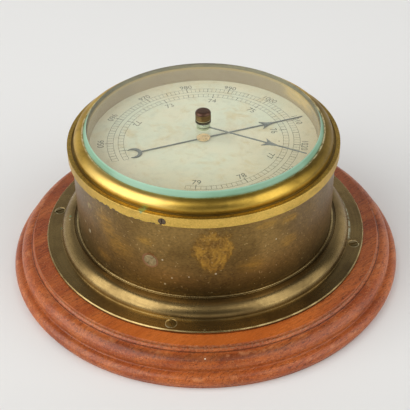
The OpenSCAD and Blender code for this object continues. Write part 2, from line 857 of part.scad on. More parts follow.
module main_plate() {
    slot_l = 2 * (shaft_drop + plate_t) * tan(sector_swing_low) + arm_t + 2 * arm_slot_end;
    slot_w = arm_t + 2 * arm_slot_side;
    color(old_brass)
    difference() {
        union() {
            translate([0, 0, plate_under]) cylinder(r = ring_fit_r, h = plate_t);
            rotate_extrude() translate([ring_fit_r - plate_rim_t, plate_z - plate_rim_h])
                square([plate_rim_t, plate_rim_h]);
        }
        plate_screw_places()
            flush_hole(plate_head_r, drum_wall, plate_head_r / 2, radial_length);
        translate([shaft_x - slot_l / 2, rocking_arm_y - slot_w / 2, plate_under - past])
            cube([slot_l, slot_w, plate_t + 2 * past]);
        translate([0, 0, plate_under - past]) cylinder(r = pivot_r + run_gap, h = plate_t + 2 * past);
        translate([sector_x, sector_y, plate_under - past])
            cylinder(r = pivot_r + run_gap, h = plate_t + 2 * past);
        for (p = bridge_points) translate([p[0], p[1], plate_under - past])
            cylinder(r = pillar_spigot_r + snug, h = plate_t + 2 * past);
        for (a = lower_angles) rotate(a) translate([lower_pillar_circle, 0, plate_under - past])
            cylinder(r = pillar_spigot_r + snug, h = plate_t + 2 * past);
        for (p = bracket_screw_points) translate([p[0], p[1], plate_under - past])
            cylinder(r = bracket_shank_r + run_gap, h = plate_t + 2 * past);
        translate([stud_at[0], stud_at[1], plate_under - past])
            cylinder(r = pillar_spigot_r / 2 + snug, h = plate_t + 2 * past);
    }
}

module plate_screws() {
    color(bright_brass)
    plate_screw_places() rotate(plate_slot_turn)
        flush_screw(plate_head_r, drum_wall, plate_head_r / 2, radial_length);
}

module bridge_plate() {
    color(gold_brass)
    difference() {
        translate([0, 0, bridge_z]) linear_extrude(bridge_t) {
            for (p = bridge_points) bar_between([0, 0], p, bridge_bar);
            circle(r = bridge_middle_r);
        }
        translate([0, 0, bridge_z - past]) cylinder(r = arbor_r + run_gap, h = bridge_t + 2 * past);
        translate([sector_x, sector_y, bridge_z - past])
            cylinder(r = pivot_r + run_gap, h = bridge_t + 2 * past);
        for (p = bridge_points) translate([p[0], p[1], bridge_z - past])
            cylinder(r = pillar_shank_r + run_gap, h = bridge_t + 2 * past);
    }
}

module bridge_pillars() {
    color(gold_brass)
    for (p = bridge_points) translate([p[0], p[1], 0])
        difference() {
            union() {
                translate([0, 0, plate_z]) cylinder(r = bridge_pillar_r, h = bridge_pillar_h);
                translate([0, 0, plate_under]) cylinder(r = pillar_spigot_r, h = 2 * plate_t);
            }
            translate([0, 0, bridge_z - pillar_screw_depth - run_gap])
                cylinder(r = pillar_shank_r + run_gap, h = pillar_screw_depth + run_gap + past);
        }
}

module bridge_screws() {
    color(steel)
    for (p = bridge_points) translate([p[0], p[1], bridge_top])
        slotted_screw(pillar_head_r, pillar_head_h, pillar_shank_r, bridge_t + pillar_screw_depth);
}

lower_pillar_l = plate_under - lower_top;

module lower_plate() {
    color(old_brass)
    translate([0, 0, lower_z])
    difference() {
        linear_extrude(lower_t) {
            for (a = lower_angles) rotate(a)
                bar_between([0, 0], [lower_pillar_circle, 0], lower_bar);
            circle(r = lower_middle_r);
        }
        translate([0, 0, -past]) cylinder(r = adjuster_r + run_gap, h = lower_t + 2 * past);
        for (a = lower_angles) rotate(a) translate([lower_pillar_circle, 0, -past])
            cylinder(r = pillar_shank_r + run_gap, h = lower_t + 2 * past);
    }
}

module lower_pillars() {
    color(old_brass)
    for (a = lower_angles) rotate(a) translate([lower_pillar_circle, 0, 0])
        difference() {
            union() {
                translate([0, 0, lower_top]) cylinder(r = lower_pillar_r, h = lower_pillar_l);
                translate([0, 0, plate_under - plate_t]) cylinder(r = pillar_spigot_r, h = 2 * plate_t);
            }
            translate([0, 0, lower_top - past])
                cylinder(r = pillar_shank_r + run_gap, h = pillar_screw_depth + past + run_gap);
        }
}

module lower_screws() {
    color(steel)
    for (a = lower_angles) rotate(a) translate([lower_pillar_circle, 0, lower_z]) mirror([0, 0, 1])
        slotted_screw(pillar_head_r, pillar_head_h, pillar_shank_r, lower_t + pillar_screw_depth);
}

module adjusting_screw() {
    reach = lower_gap - adjuster_back_gap;
    slot_w = adjuster_r * slot_w_share;
    color(bright_brass)
    difference() {
        translate([0, 0, lower_z - reach]) cylinder(r = adjuster_r, h = adjuster_top - lower_z + reach);
        translate([-adjuster_r - past, -slot_w / 2, lower_z - reach - past])
            cube([2 * (adjuster_r + past), slot_w, adjuster_slot_d + past]);
    }
}

module capsule_foot() {
    color(bright_brass) {
        translate([0, 0, foot_z]) cylinder(r = boss_r, h = capsules_z - foot_z);
        translate([0, 0, foot_z]) cylinder(r = capsule_foot_r, h = capsule_foot_t);
    }
}

// Half of one capsule's section, its lower face at height 0
module capsule_outline() {
    shell = (capsule_h - 2 * ripple_h) / 2;
    ripple_w = (capsule_r - boss_r - 2 * ripple_margin) / ripple_n;
    translate([0, shell / 2 + ripple_h]) square([boss_r, shell]);
    translate([0, ripple_h + shell / 2]) square([capsule_r - capsule_rim_w, shell]);
    translate([0, (capsule_h - capsule_rim_h) / 2]) square([capsule_r, capsule_rim_h]);
    square([boss_r, capsule_h]);
    for (i = [0 : ripple_n - past]) {
        ripple_x = boss_r + ripple_margin + (i + 0.5) * ripple_w;
        for (side = [0, 1]) {
            y = side == 0 ? ripple_h + shell / 2 : capsule_h - ripple_h - shell / 2;
            translate([ripple_x, y]) intersection() {
                circle(r = ripple_w * ripple_share);
                square([ripple_w, 2 * ripple_h + shell], center = true);
            }
        }
    }
}

module aneroid_capsules() {
    color("#c9b98a")
    rotate_extrude() {
        translate([0, capsules_z]) capsule_outline();
        translate([0, capsules_z + capsule_h + boss_h]) capsule_outline();
        translate([0, capsules_z + capsule_h / 2]) square([boss_r, capsule_h + boss_h]);
    }
}

link_hole_r = arm_pin_r + link_play;
link_eye_r = link_hole_r + link_eye_wall;

// The fork on top of the capsules
module capsule_stud() {
    color(bright_brass)
    difference() {
        translate([0, 0, capsules_top + run_gap]) cylinder(r = fork_r, h = fork_h);
        translate([-fork_r - past, -link_t / 2 - run_gap, capsules_top + fork_floor])
            cube([2 * (fork_r + past), link_t + 2 * run_gap, fork_h]);
        fork_pin_at() cylinder(r = link_pin_r + run_gap, h = 2 * (fork_r + past), center = true);
    }
}

module fork_pin_at() {
    translate([0, 0, capsules_top + fork_pin_rise]) rotate([90, 0, 0]) children();
}

module capsule_link() {
    foot = capsules_top + fork_floor + hand_gap;
    color(steel)
    difference() {
        union() {
            translate([-link_half_w, -link_t / 2, foot]) cube([2 * link_half_w, link_t, shaft_z - foot]);
            translate([0, link_t / 2, shaft_z]) rotate([90, 0, 0]) cylinder(r = link_eye_r, h = link_t);
        }
        fork_pin_at() cylinder(r = link_pin_r + run_gap, h = link_t + 2 * past, center = true);
        translate([0, link_t / 2 + past, shaft_z]) rotate([90, 0, 0])
            cylinder(r = link_hole_r, h = link_t + 2 * past);
    }
}

module link_pin() {
    color(steel) fork_pin_at() cylinder(r = link_pin_r, h = 2 * (fork_r - hand_gap), center = true);
}

far_bracket_y = drive_y - cross_pin_l - far_bracket_gap;
bracket_screw_points = [
    [shaft_x, near_bracket_y + bracket_t + (bracket_foot - bracket_t) / 2],
    [shaft_x, far_bracket_y - bracket_t - (bracket_foot - bracket_t) / 2],
];

module rocking_shaft() {
    inner = near_bracket_y - far_bracket_y - 2 * run_gap;
    color(steel) {
        translate([shaft_x, near_bracket_y - run_gap, shaft_z]) rotate([90, 0, 0])
            cylinder(r = shaft_r, h = inner);
        translate([shaft_x, near_bracket_y + bracket_t, shaft_z]) rotate([90, 0, 0])
            cylinder(r = pivot_r, h = inner + 2 * bracket_t + 2 * run_gap);
    }
}

module collar(y, length) {
    translate([shaft_x, y + length / 2, shaft_z]) rotate([90, 0, 0])
        difference() {
            cylinder(r = collar_r, h = length);
            translate([0, 0, -past]) cylinder(r = shaft_r + snug, h = length + 2 * past);
        }
}

// The short arm, which the capsules' link turns
module capsule_arm() {
    arm_y = link_t / 2 + link_side_gap + arm_t / 2;
    color(bright_brass) {
        collar(arm_y, arm_t);
        translate([shaft_x + (collar_r + shaft_r) / 2, arm_y - arm_t / 2, shaft_z - capsule_arm_half])
            cube([capsule_arm_l - (collar_r + shaft_r) / 2, arm_t, 2 * capsule_arm_half]);
        translate([0, arm_y + arm_t / 2, shaft_z]) rotate([90, 0, 0])
            cylinder(r = capsule_arm_half, h = arm_t);
        translate([0, arm_y, shaft_z]) rotate([90, 0, 0])
            cylinder(r = arm_pin_r, h = arm_y + link_t / 2 + link_side_gap);
    }
}

// The long arm, whose cross pin pushes the sector's pin
module rocking_arm() {
    color(bright_brass) {
        collar(rocking_arm_y, collar_l);
        translate([shaft_x - arm_t / 2, rocking_arm_y - arm_t / 2, shaft_z + (collar_r + shaft_r) / 2])
            cube([arm_t, arm_t, tail_l + arm_t / 2 - (collar_r + shaft_r) / 2]);
        translate([shaft_x, drive_y + cross_pin_l / 2, drive_pin_z]) rotate([90, 0, 0])
            cylinder(r = arm_pin_r, h = cross_pin_l - arm_t / 2);
    }
}

module rocker_brackets() {
    cheek_h = shaft_drop + bracket_below;
    color(old_brass)
    for (end = [0, 1]) {
        y = end == 0 ? near_bracket_y : far_bracket_y - bracket_t;
        foot_y = end == 0 ? near_bracket_y : far_bracket_y - bracket_foot;
        difference() {
            union() {
                translate([shaft_x - bracket_w / 2, y, plate_under - cheek_h])
                    cube([bracket_w, bracket_t, cheek_h]);
                translate([shaft_x - bracket_w / 2, foot_y, plate_under - bracket_t])
                    cube([bracket_w, bracket_foot, bracket_t]);
            }
            translate([shaft_x, y + bracket_t + past, shaft_z]) rotate([90, 0, 0])
                cylinder(r = pivot_r + run_gap, h = bracket_t + 2 * past);
            translate([bracket_screw_points[end][0], bracket_screw_points[end][1], plate_under - cheek_h])
                cylinder(r = bracket_shank_r + run_gap, h = cheek_h + past);
        }
    }
}

module bracket_screws() {
    color(steel)
    for (p = bracket_screw_points) translate([p[0], p[1], plate_z])
        slotted_screw(bracket_head_r, bracket_head_h, bracket_shank_r, plate_t + bracket_t);
}

// Involute of the base circle: the angle between the flank's start and radius r
function involute(r, base_r) = let (a = acos(min(1, base_r / r))) tan(a) * 180 / PI - a;

// One tooth, centred on +X, from inside the root circle to the tip
module tooth(pitch_r, teeth) {
    base_r = pitch_r * cos(pressure_angle);
    root_r = pitch_r - dedendum;
    tip_r = pitch_r + addendum;
    start_r = max(base_r, root_r);
    steps = 5;
    half = 90 / teeth - tooth_play / 4 / pitch_r * 180 / PI;
    radii = [for (i = [0 : steps]) start_r + (tip_r - start_r) * i / steps];
    angles = [for (r = radii) half + involute(pitch_r, base_r) - involute(r, base_r)];
    inner_r = root_r - tooth_module / 2;
    polygon(concat(
        [[inner_r * cos(angles[0]), -inner_r * sin(angles[0])]],
        [for (i = [0 : steps]) radii[i] * [cos(angles[i]), -sin(angles[i])]],
        [for (i = [steps : -1 : 0]) radii[i] * [cos(angles[i]), sin(angles[i])]],
        [[inner_r * cos(angles[0]), inner_r * sin(angles[0])]]
    ));
}

// A flat wedge from angle a to angle b, wider than any wheel here
module wedge(a, b, reach) {
    steps = 6;
    polygon(concat([[0, 0]],
        [for (i = [0 : steps]) let (t = a + (b - a) * i / steps) reach * [cos(t), sin(t)]]));
}

module sector_gear() {
    root_r = sector_pitch_r - dedendum;
    pitch_step = 360 / sector_teeth;
    first = -ceil((sector_swing_high + spare_angle) / pitch_step);
    last = ceil((sector_swing_low + spare_angle) / pitch_step);
    low = first * pitch_step;
    high = last * pitch_step;
    // Angle between the middle of the outer spokes and the rim's ends
    spoke_at = 2;
    color(gold_brass)
    translate([sector_x, sector_y, sector_z])
    difference() {
        linear_extrude(sector_t) {
            rotate(sector_to_centre) {
                for (i = [first : last - 1]) rotate((i + 0.5) * pitch_step)
                    tooth(sector_pitch_r, sector_teeth);
                intersection() {
                    difference() {
                        circle(r = root_r);
                        circle(r = root_r - sector_rim_w);
                    }
                    wedge(low, high, 2 * root_r);
                }
                for (a = [low + spoke_at, high - spoke_at]) rotate(a) translate([0, -sector_spoke])
                    square([root_r - sector_rim_w / 2, 2 * sector_spoke]);
            }
            circle(r = sector_hub_r);
            translate([-sector_spoke, -tail_l]) square([2 * sector_spoke, tail_l]);
            translate([0, -tail_l]) circle(r = sector_spoke + run_gap);
        }
        translate([0, 0, -past]) cylinder(r = arbor_r + snug, h = sector_t + 2 * past);
        translate([0, -tail_l, -past]) cylinder(r = tail_pin_r + snug, h = sector_t + 2 * past);
    }
}

module sector_arbor() {
    color(steel)
    translate([sector_x, sector_y, 0]) {
        translate([0, 0, plate_z + run_gap])
            cylinder(r = arbor_r, h = bridge_pillar_h - 2 * run_gap);
        translate([0, 0, plate_under]) cylinder(r = pivot_r, h = bridge_top - plate_under);
        translate([0, 0, plate_z + run_gap]) cylinder(r = arbor_collar_r, h = arbor_collar_h);
    }
}

module sector_pin() {
    color(steel)
    translate([sector_x, sector_y - tail_l, sector_z - tail_pin_drop])
        cylinder(r = tail_pin_r, h = tail_pin_drop + sector_t);
}

module pointer_arbor() {
    pinion_z = sector_z + sector_t / 2 - pinion_l / 2;
    hub_top = pointer_z + hand_t + hub_h;
    color(steel) {
        translate([0, 0, plate_under]) cylinder(r = pivot_r, h = plate_t * 2);
        translate([0, 0, plate_z + run_gap])
            cylinder(r = arbor_r, h = pointer_z - plate_z - 2 * run_gap);
        translate([0, 0, pointer_z - past])
            cylinder(r = pivot_r, h = hub_top - tip_drop - pointer_z + past);
        translate([0, 0, pinion_z]) linear_extrude(pinion_l)
            rotate(sector_to_centre + 180) {
                circle(r = pinion_pitch_r - dedendum);
                for (i = [0 : pinion_teeth - past]) rotate(i * 360 / pinion_teeth)
                    tooth(pinion_pitch_r, pinion_teeth);
            }
    }
}

hairspring_in = collet_r + hand_gap * 2;
hairspring_out = hairspring_in + hairspring_pitch * hairspring_turns;
stud_at = (hairspring_out + hairspring_t + run_gap + stud_r) * [cos(stud_angle), sin(stud_angle)];

module hairspring() {
    per_turn = 24;
    n = hairspring_turns * per_turn;
    inner = [for (i = [0 : n]) let (a = stud_angle + i * 360 / per_turn,
        r = hairspring_in + hairspring_pitch * i / per_turn) r * [cos(a), sin(a)]];
    outer = [for (i = [n : -1 : 0]) let (a = stud_angle + i * 360 / per_turn,
        r = hairspring_in + hairspring_t + hairspring_pitch * i / per_turn) r * [cos(a), sin(a)]];
    color(blued_steel)
    translate([0, 0, plate_z + hairspring_rise]) linear_extrude(hairspring_h)
        polygon(concat(inner, outer));
}

module hairspring_collet() {
    color(bright_brass)
    translate([0, 0, plate_z + hairspring_rise - blade_margin])
    difference() {
        cylinder(r = collet_r, h = hairspring_h + 2 * blade_margin);
        translate([0, 0, -past])
            cylinder(r = arbor_r + snug, h = hairspring_h + 2 * (blade_margin + past));
    }
}

module hairspring_stud() {
    color(bright_brass)
    translate([stud_at[0], stud_at[1], plate_z]) {
        cylinder(r = stud_r, h = hairspring_rise + hairspring_h + blade_margin);
        cylinder(r = stud_foot_r, h = stud_foot_h);
        translate([0, 0, -plate_t]) cylinder(r = pillar_spigot_r / 2, h = 2 * plate_t);
    }
}

// A hand's arrow and needle, along +X
module hand_front(barb_at, length) {
    bend = [barb_at + arrow_l * arrow_bend_at, arrow_w * arrow_bend_w];
    upper = [[0, hand_stem], [barb_at + arrow_notch, hand_stem], [barb_at, arrow_w], bend,
        [barb_at + arrow_l, hand_stem], [length, needle_half]];
    last = len(upper) - 1;
    polygon(concat([for (p = upper) [p[0], -p[1]]], [for (i = [last : -1 : 0]) upper[i]]));
}

module pointer() {
    color(blued_steel)
    translate([0, 0, pointer_z]) rotate(pointer_angle)
    difference() {
        linear_extrude(hand_t) {
            hand_front(pointer_barb, pointer_l);
            circle(r = pointer_eye_r);
            translate([-crescent_at + crescent_r - past, -tail_half])
                square([crescent_at - crescent_r + past, 2 * tail_half]);
            difference() {
                translate([-crescent_at, 0]) circle(r = crescent_r);
                translate([-crescent_at - crescent_shift, 0]) circle(r = crescent_in_r);
            }
        }
        translate([0, 0, -past]) cylinder(r = pivot_r + snug, h = hand_t + 2 * past);
    }
}

module pointer_hub() {
    color(gold_brass)
    translate([0, 0, pointer_z + hand_t])
    difference() {
        cylinder(r = hub_r, h = hub_h);
        translate([0, 0, -past]) cylinder(r = pivot_r + snug, h = hub_h + 2 * past);
    }
}

module set_hand() {
    color(blued_steel)
    translate([0, 0, set_z]) rotate(set_angle)
    difference() {
        linear_extrude(hand_t) {
            hand_front(set_barb, set_l);
            circle(r = set_eye_r);
        }
        translate([0, 0, -past]) cylinder(r = spindle_r + snug, h = hand_t + 2 * past);
    }
}

module set_hand_nut() {
    color(bright_brass)
    translate([0, 0, set_z - set_nut_h])
    difference() {
        cylinder(r = set_nut_r, h = set_nut_h);
        translate([0, 0, -past]) cylinder(r = spindle_r + snug, h = set_nut_h + 2 * past);
    }
}

module set_spindle() {
    color(bright_brass)
    translate([0, 0, set_z - set_nut_h])
        cylinder(r = spindle_r, h = knob_z + spindle_grip - set_z + set_nut_h);
}

module set_knob() {
    color("#5b3f2a")
    difference() {
        union() {
            translate([0, 0, knob_z])
                cylinder(r = knob_r - knurl_d - 2 * knurl_inset, h = knob_ring_h);
            translate([0, 0, knurl_z]) linear_extrude(knurl_h)
                polygon([for (i = [0 : 2 * knurl_n - past])
                    let (r = knob_r - knurl_inset - (i % 2) * knurl_d, a = i * 180 / knurl_n)
                        r * [cos(a), sin(a)]]);
            rotate_extrude() intersection() {
                translate([knob_r - dome_h, dome_z]) circle(r = dome_h);
                translate([0, dome_z]) square([knob_r, dome_h]);
            }
            translate([0, 0, dome_z]) cylinder(r = knob_r - dome_h, h = dome_h);
        }
        translate([0, 0, knob_z - past])
            cylinder(r = spindle_r + snug, h = spindle_grip + past + run_gap);
    }
}

module knob_washer() {
    color(sealing)
    translate([0, 0, glass_top])
    difference() {
        cylinder(r = knob_r, h = knob_washer_h);
        translate([0, 0, -past]) cylinder(r = spindle_r + run_gap, h = knob_washer_h + 2 * past);
    }
}

module spring_washer() {
    color(bright_brass)
    translate([0, 0, washer_z])
    difference() {
        cylinder(r = set_nut_r, h = spring_washer_t);
        translate([0, 0, -past]) cylinder(r = spindle_r + run_gap, h = spring_washer_t + 2 * past);
    }
}

base_board();
mounting_flange();
flange_screws();
case_drum();
case_back();
bezel();
bezel_screws();
bezel_glass();
glass_gasket();
sight_ring();
dial();
dial_screws();
dial_carrier();
carrier_screws();
main_plate();
plate_screws();
bridge_plate();
bridge_pillars();
bridge_screws();
lower_plate();
lower_pillars();
lower_screws();
adjusting_screw();
capsule_foot();
aneroid_capsules();
capsule_stud();
capsule_link();
link_pin();
rocking_shaft();
capsule_arm();
rocking_arm();
rocker_brackets();
bracket_screws();
sector_gear();
sector_arbor();
sector_pin();
pointer_arbor();
hairspring();
hairspring_collet();
hairspring_stud();
pointer();
pointer_hub();
set_hand();
set_hand_nut();
set_spindle();
set_knob();
knob_washer();
spring_washer();
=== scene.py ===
"""Looks of a round brass ship's barometer on a turned wooden board, built round its CAD frame."""
import json
import logging
import math
from dataclasses import dataclass, field
from enum import Enum
from functools import reduce

import bmesh
import bpy
from mathutils import Matrix, Vector


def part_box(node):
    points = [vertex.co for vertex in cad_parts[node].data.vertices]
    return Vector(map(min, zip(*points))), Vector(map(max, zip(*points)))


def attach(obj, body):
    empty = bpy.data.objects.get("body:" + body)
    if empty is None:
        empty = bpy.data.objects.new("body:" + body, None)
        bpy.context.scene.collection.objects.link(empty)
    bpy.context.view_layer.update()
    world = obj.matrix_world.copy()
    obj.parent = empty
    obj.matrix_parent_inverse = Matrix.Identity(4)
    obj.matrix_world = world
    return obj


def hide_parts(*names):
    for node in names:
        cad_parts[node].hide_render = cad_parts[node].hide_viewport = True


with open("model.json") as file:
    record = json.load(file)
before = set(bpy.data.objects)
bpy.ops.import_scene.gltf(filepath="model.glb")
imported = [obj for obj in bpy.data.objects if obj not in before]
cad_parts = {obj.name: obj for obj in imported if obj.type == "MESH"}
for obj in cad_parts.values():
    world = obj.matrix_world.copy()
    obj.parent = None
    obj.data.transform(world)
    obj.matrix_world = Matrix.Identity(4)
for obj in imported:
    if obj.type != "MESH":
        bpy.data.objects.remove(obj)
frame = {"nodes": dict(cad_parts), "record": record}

logging.basicConfig(level=logging.INFO, format="%(message)s")
LOG = logging.getLogger("barometer")
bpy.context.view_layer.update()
NODES = frame["nodes"]
MM = 0.001
TOUCHING = 1e-6  # points nearer than this, in millimetres, are one
SEAM = 1e-5  # points nearer than this are merged where a turned piece closes
MERGED = 1e-4  # points nearer than this are merged in a finished piece
ROUND = 288  # faces round a wide turned piece
SMALL_ROUND = 64  # faces round a screw or a hub
FRONT = -90.0  # the angle that faces the camera
MILLIBARS = range(943, 1055)  # the marks of the outer scale
MILLIMETRES = range(707, 793)  # the marks of the inner scale, in millimetres of mercury
Point = tuple[float, float]
Place = tuple[float, float, float]
Colour = tuple[float, float, float]
Spots = tuple[tuple[float, ...], ...]
Socket = bpy.types.NodeSocket


class Body(Enum):
    """The CAD bodies that pieces ride on."""

    CASE = "case"
    SET_HAND = "set_hand_group"
    POINTER = "pointer_group"


class Rank(Enum):
    """The weight of a mark on a scale: its width and how far it stands out, in millimetres."""

    UNIT = (0.24, 0.0)
    FIFTH = (0.42, 0.0)
    TENTH = (0.52, 1.3)

    @classmethod
    def of(cls, count: int) -> "Rank":
        """The rank of the mark with this count."""
        return cls.TENTH if count % 10 == 0 else cls.FIFTH if count % 5 == 0 else cls.UNIT


# Mesh making


@dataclass
class Section:
    """The outline of a turned piece, as (radius, height) points in millimetres."""

    points: list[Point] = field(default_factory=list)

    def to(self, *points: Point) -> "Section":
        """Adds straight lines to these points."""
        self.points.extend(points)
        return self

    def arc(self, centre: Point, radius: float, start: float, end: float, steps: int = 10) -> "Section":
        """Adds a round.

        Args:
            centre: The round's centre.
            radius: Its radius.
            start: The angle of its first point, in degrees from +radius.
            end: The angle of its last point.
            steps: The number of straight pieces in it.

        Returns:
            This section.
        """
        for i in range(steps + 1):
            a = math.radians(start + (end - start) * i / steps)
            self.points.append((centre[0] + radius * math.cos(a), centre[1] + radius * math.sin(a)))
        return self

    def eased(self, radius: float, sharpest: float = 35.0, steps: int = 3, share: float = 0.45,
              long: float = 4.0, guard: float = 1.4) -> "Section":
        """Rounds off the sharp corners.

        Args:
            radius: The radius of the new rounds, in millimetres.
            sharpest: Corners that turn less than this, in degrees, stay.
            steps: The number of straight pieces in a new round.
            share: The most of a side that a round takes.
            long: A side this many times as long as a round's reach gets a point near the round.
            guard: The place of that point, in reaches. It keeps the side shaded flat.

        Returns:
            A new section.
        """
        made: list[Point] = []
        count = len(self.points)
        for i, corner in enumerate(self.points):
            here = Vector(corner)
            before = Vector(self.points[i - 1]) - here
            after = Vector(self.points[(i + 1) % count]) - here
            if before.length < TOUCHING or after.length < TOUCHING:
                continue
            opening = before.angle(after)
            if math.degrees(math.pi - opening) < sharpest:
                made.append(corner)
                continue
            reach = min(radius / math.tan(opening / 2), before.length * share, after.length * share)
            first = here + before.normalized() * reach
            last = here + after.normalized() * reach
            if before.length > long * reach:
                made.append(tuple(here + before.normalized() * reach * guard))
            for k in range(steps + 1):
                t = k / steps
                made.append(tuple(first * (1 - t) ** 2 + here * 2 * t * (1 - t) + last * t ** 2))
            if after.length > long * reach:
                made.append(tuple(here + after.normalized() * reach * guard))
        return Section(made)


class Maker:
    """Turns bmesh shapes into named pieces."""

    @staticmethod
    def finish(name: str, bm: bmesh.types.BMesh, material: bpy.types.Material, body: Body,
               slot: str, nodes: tuple[str, ...] = (), smooth: float = 40.0) -> bpy.types.Object:
        """Makes a piece from a bmesh in millimetres.

        Args:
            name: The piece's name.
            bm: Its shape, which is used up.
            material: Its material.
            body: The CAD body that it rides on.
            slot: The record's material slot. It is not used.
            nodes: The CAD nodes that it stands for.
            smooth: Edges sharper than this, in degrees, stay sharp.

        Returns:
            The new object.
        """
        bmesh.ops.remove_doubles(bm, verts=bm.verts, dist=MERGED)
        bmesh.ops.scale(bm, vec=(MM, MM, MM), verts=bm.verts)
        mesh = bpy.data.meshes.new(name)
        bm.to_mesh(mesh)
        bm.free()
        mesh.shade_smooth()
        mesh.set_sharp_from_angle(angle=math.radians(smooth))
        mesh.materials.append(material)
        obj = bpy.data.objects.new(name, mesh)
        bpy.context.scene.collection.objects.link(obj)
        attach(obj, body.value)
        if nodes:
            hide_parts(*nodes)
        LOG.info("%s: %d faces on %s", name, len(mesh.polygons), body.value)
        return obj

    @staticmethod
    def turned(section: Section, steps: int = ROUND, closed: bool = True) -> bmesh.types.BMesh:
        """Turns a section round the axis.

        Args:
            section: The outline.
            steps: The number of faces round the axis.
            closed: True if the outline's last point joins its first.

        Returns:
            The turned shape, its faces outward.
        """
        bm = bmesh.new()
        verts = [bm.verts.new((r, 0.0, z)) for r, z in section.points]
        edges = [bm.edges.new(pair) for pair in zip(verts, verts[1:])]
        if closed:
            edges.append(bm.edges.new((verts[-1], verts[0])))
        bmesh.ops.spin(bm, geom=verts + edges, cent=(0, 0, 0), axis=(0, 0, 1), angle=math.tau,
                       steps=steps, use_merge=True, use_duplicate=False)
        bmesh.ops.remove_doubles(bm, verts=bm.verts, dist=SEAM)
        bmesh.ops.recalc_face_normals(bm, faces=bm.faces)
        return bm

    @staticmethod
    def plate(outline: list[Point], low: float, high: float, edge: float = 0.0) -> bmesh.types.BMesh:
        """Makes a flat plate from its outline.

        Args:
            outline: The outline's points in millimetres, counter-clockwise from above.
            low: The height of its underside.
            high: The height of its top.
            edge: The width of the bevel on its top edge.

        Returns:
            The plate's shape.
        """
        bm = bmesh.new()
        face = bm.faces.new([bm.verts.new((x, y, low)) for x, y in outline])
        made = bmesh.ops.extrude_face_region(bm, geom=[face])["geom"]
        raised = [v for v in made if isinstance(v, bmesh.types.BMVert)]
        bmesh.ops.translate(bm, vec=(0, 0, high - low), verts=raised)
        if edge > 0:
            rim = [e for e in bm.edges if all(v.co.z > high - TOUCHING for v in e.verts)]
            bmesh.ops.bevel(bm, geom=rim, offset=edge, offset_type="OFFSET", segments=2, profile=0.5,
                            affect="EDGES", material=-1)
        bmesh.ops.recalc_face_normals(bm, faces=bm.faces)
        return bm

    @staticmethod
    def join(bm: bmesh.types.BMesh, other: bmesh.types.BMesh, place: Matrix = Matrix.Identity(4)) -> None:
        """Adds another shape to bm.

        Args:
            bm: The shape that grows.
            other: The shape to add, which is used up.
            place: Where it goes.
        """
        mesh = bpy.data.meshes.new("joined")
        other.transform(place)
        other.to_mesh(mesh)
        other.free()
        bm.from_mesh(mesh)
        bpy.data.meshes.remove(mesh)

    @staticmethod
    def combine(bm: bmesh.types.BMesh, tool: bmesh.types.BMesh, operation: str) -> bmesh.types.BMesh:
        """Cuts one shape out of another, or fuses the two.

        Args:
            bm: The shape to work on, which is used up.
            tool: The other shape, which is used up.
            operation: DIFFERENCE or UNION.

        Returns:
            The new shape.
        """
        pair = []
        for name, shape in (("work", bm), ("tool", tool)):
            mesh = bpy.data.meshes.new(name)
            shape.to_mesh(mesh)
            shape.free()
            pair.append(bpy.data.objects.new(name, mesh))
            bpy.context.scene.collection.objects.link(pair[-1])
        modifier = pair[0].modifiers.new("combine", "BOOLEAN")
        modifier.operation, modifier.solver, modifier.object = operation, "EXACT", pair[1]
        graph = bpy.context.evaluated_depsgraph_get()
        mesh = bpy.data.meshes.new_from_object(pair[0].evaluated_get(graph))
        made = bmesh.new()
        made.from_mesh(mesh)
        bpy.data.meshes.remove(mesh)
        for obj in pair:
            mesh = obj.data
            bpy.data.objects.remove(obj)
            bpy.data.meshes.remove(mesh)
        return made

    @staticmethod
    def on_top(degrees: float, radius: float, height: float) -> Matrix:
        """The place of something that stands on a face that looks up."""
        return Matrix.Rotation(math.radians(degrees), 4, "Z") @ Matrix.Translation((radius, 0, height))

    @staticmethod
    def on_side(degrees: float, radius: float, height: float) -> Matrix:
        """The place of something that points outward from a round wall."""
        return Maker.on_top(degrees, radius, height) @ Matrix.Rotation(math.radians(90), 4, "Y")


@dataclass
class SlottedHead:
    """A countersunk, slotted screw head with its face at height 0."""

    radius: float
    depth: float = 1.4
    crown: float = 0.0
    slot: float = 0.9
    slot_depth: float = 0.6
    rim: float = 0.16
    foot_share: float = 0.55
    play: float = 0.12

    def seat(self) -> bmesh.types.BMesh:
        """Makes the countersink that the head sits in.

        Returns:
            Its shape, open upward.
        """
        wide = self.radius + self.play
        deep = self.depth + self.play
        section = Section().to((0, -deep), (wide * self.foot_share, -deep), (wide, 0), (wide, 1), (0, 1))
        return Maker.turned(section, SMALL_ROUND, closed=False)

    def build(self) -> bmesh.types.BMesh:
        """Makes the head, with a slot across its face.

        Returns:
            Its shape.
        """
        r = self.radius
        section = Section().to((0, -self.depth), (r * self.foot_share, -self.depth), (r, -self.rim),
                               (r - self.rim * 0.3, -self.rim * 0.3), (r - self.rim, 0),
                               (r * 0.5, self.crown * 0.75), (0, self.crown))
        blade = bmesh.new()
        bmesh.ops.create_cube(blade, size=1.0)
        bmesh.ops.scale(blade, vec=(3 * r, self.slot, 2 * self.slot_depth), verts=blade.verts)
        return Maker.combine(Maker.turned(section, SMALL_ROUND, closed=False), blade, "DIFFERENCE")

    @staticmethod
    def sink(section: Section, screws: list[tuple["SlottedHead", Matrix, float]]) -> tuple[
            bmesh.types.BMesh, bmesh.types.BMesh]:
        """Turns a piece and sinks screws into it.

        Args:
            section: The piece's outline.
            screws: Each screw with its place and its slot's turn in degrees.

        Returns:
            The piece with its countersinks, and all the heads.
        """
        seats, heads = bmesh.new(), bmesh.new()
        for screw, place, turn in screws:
            Maker.join(seats, screw.seat(), place)
            Maker.join(heads, screw.build(), place @ Matrix.Rotation(math.radians(turn), 4, "Z"))
        return Maker.combine(Maker.turned(section), seats, "DIFFERENCE"), heads


# Materials


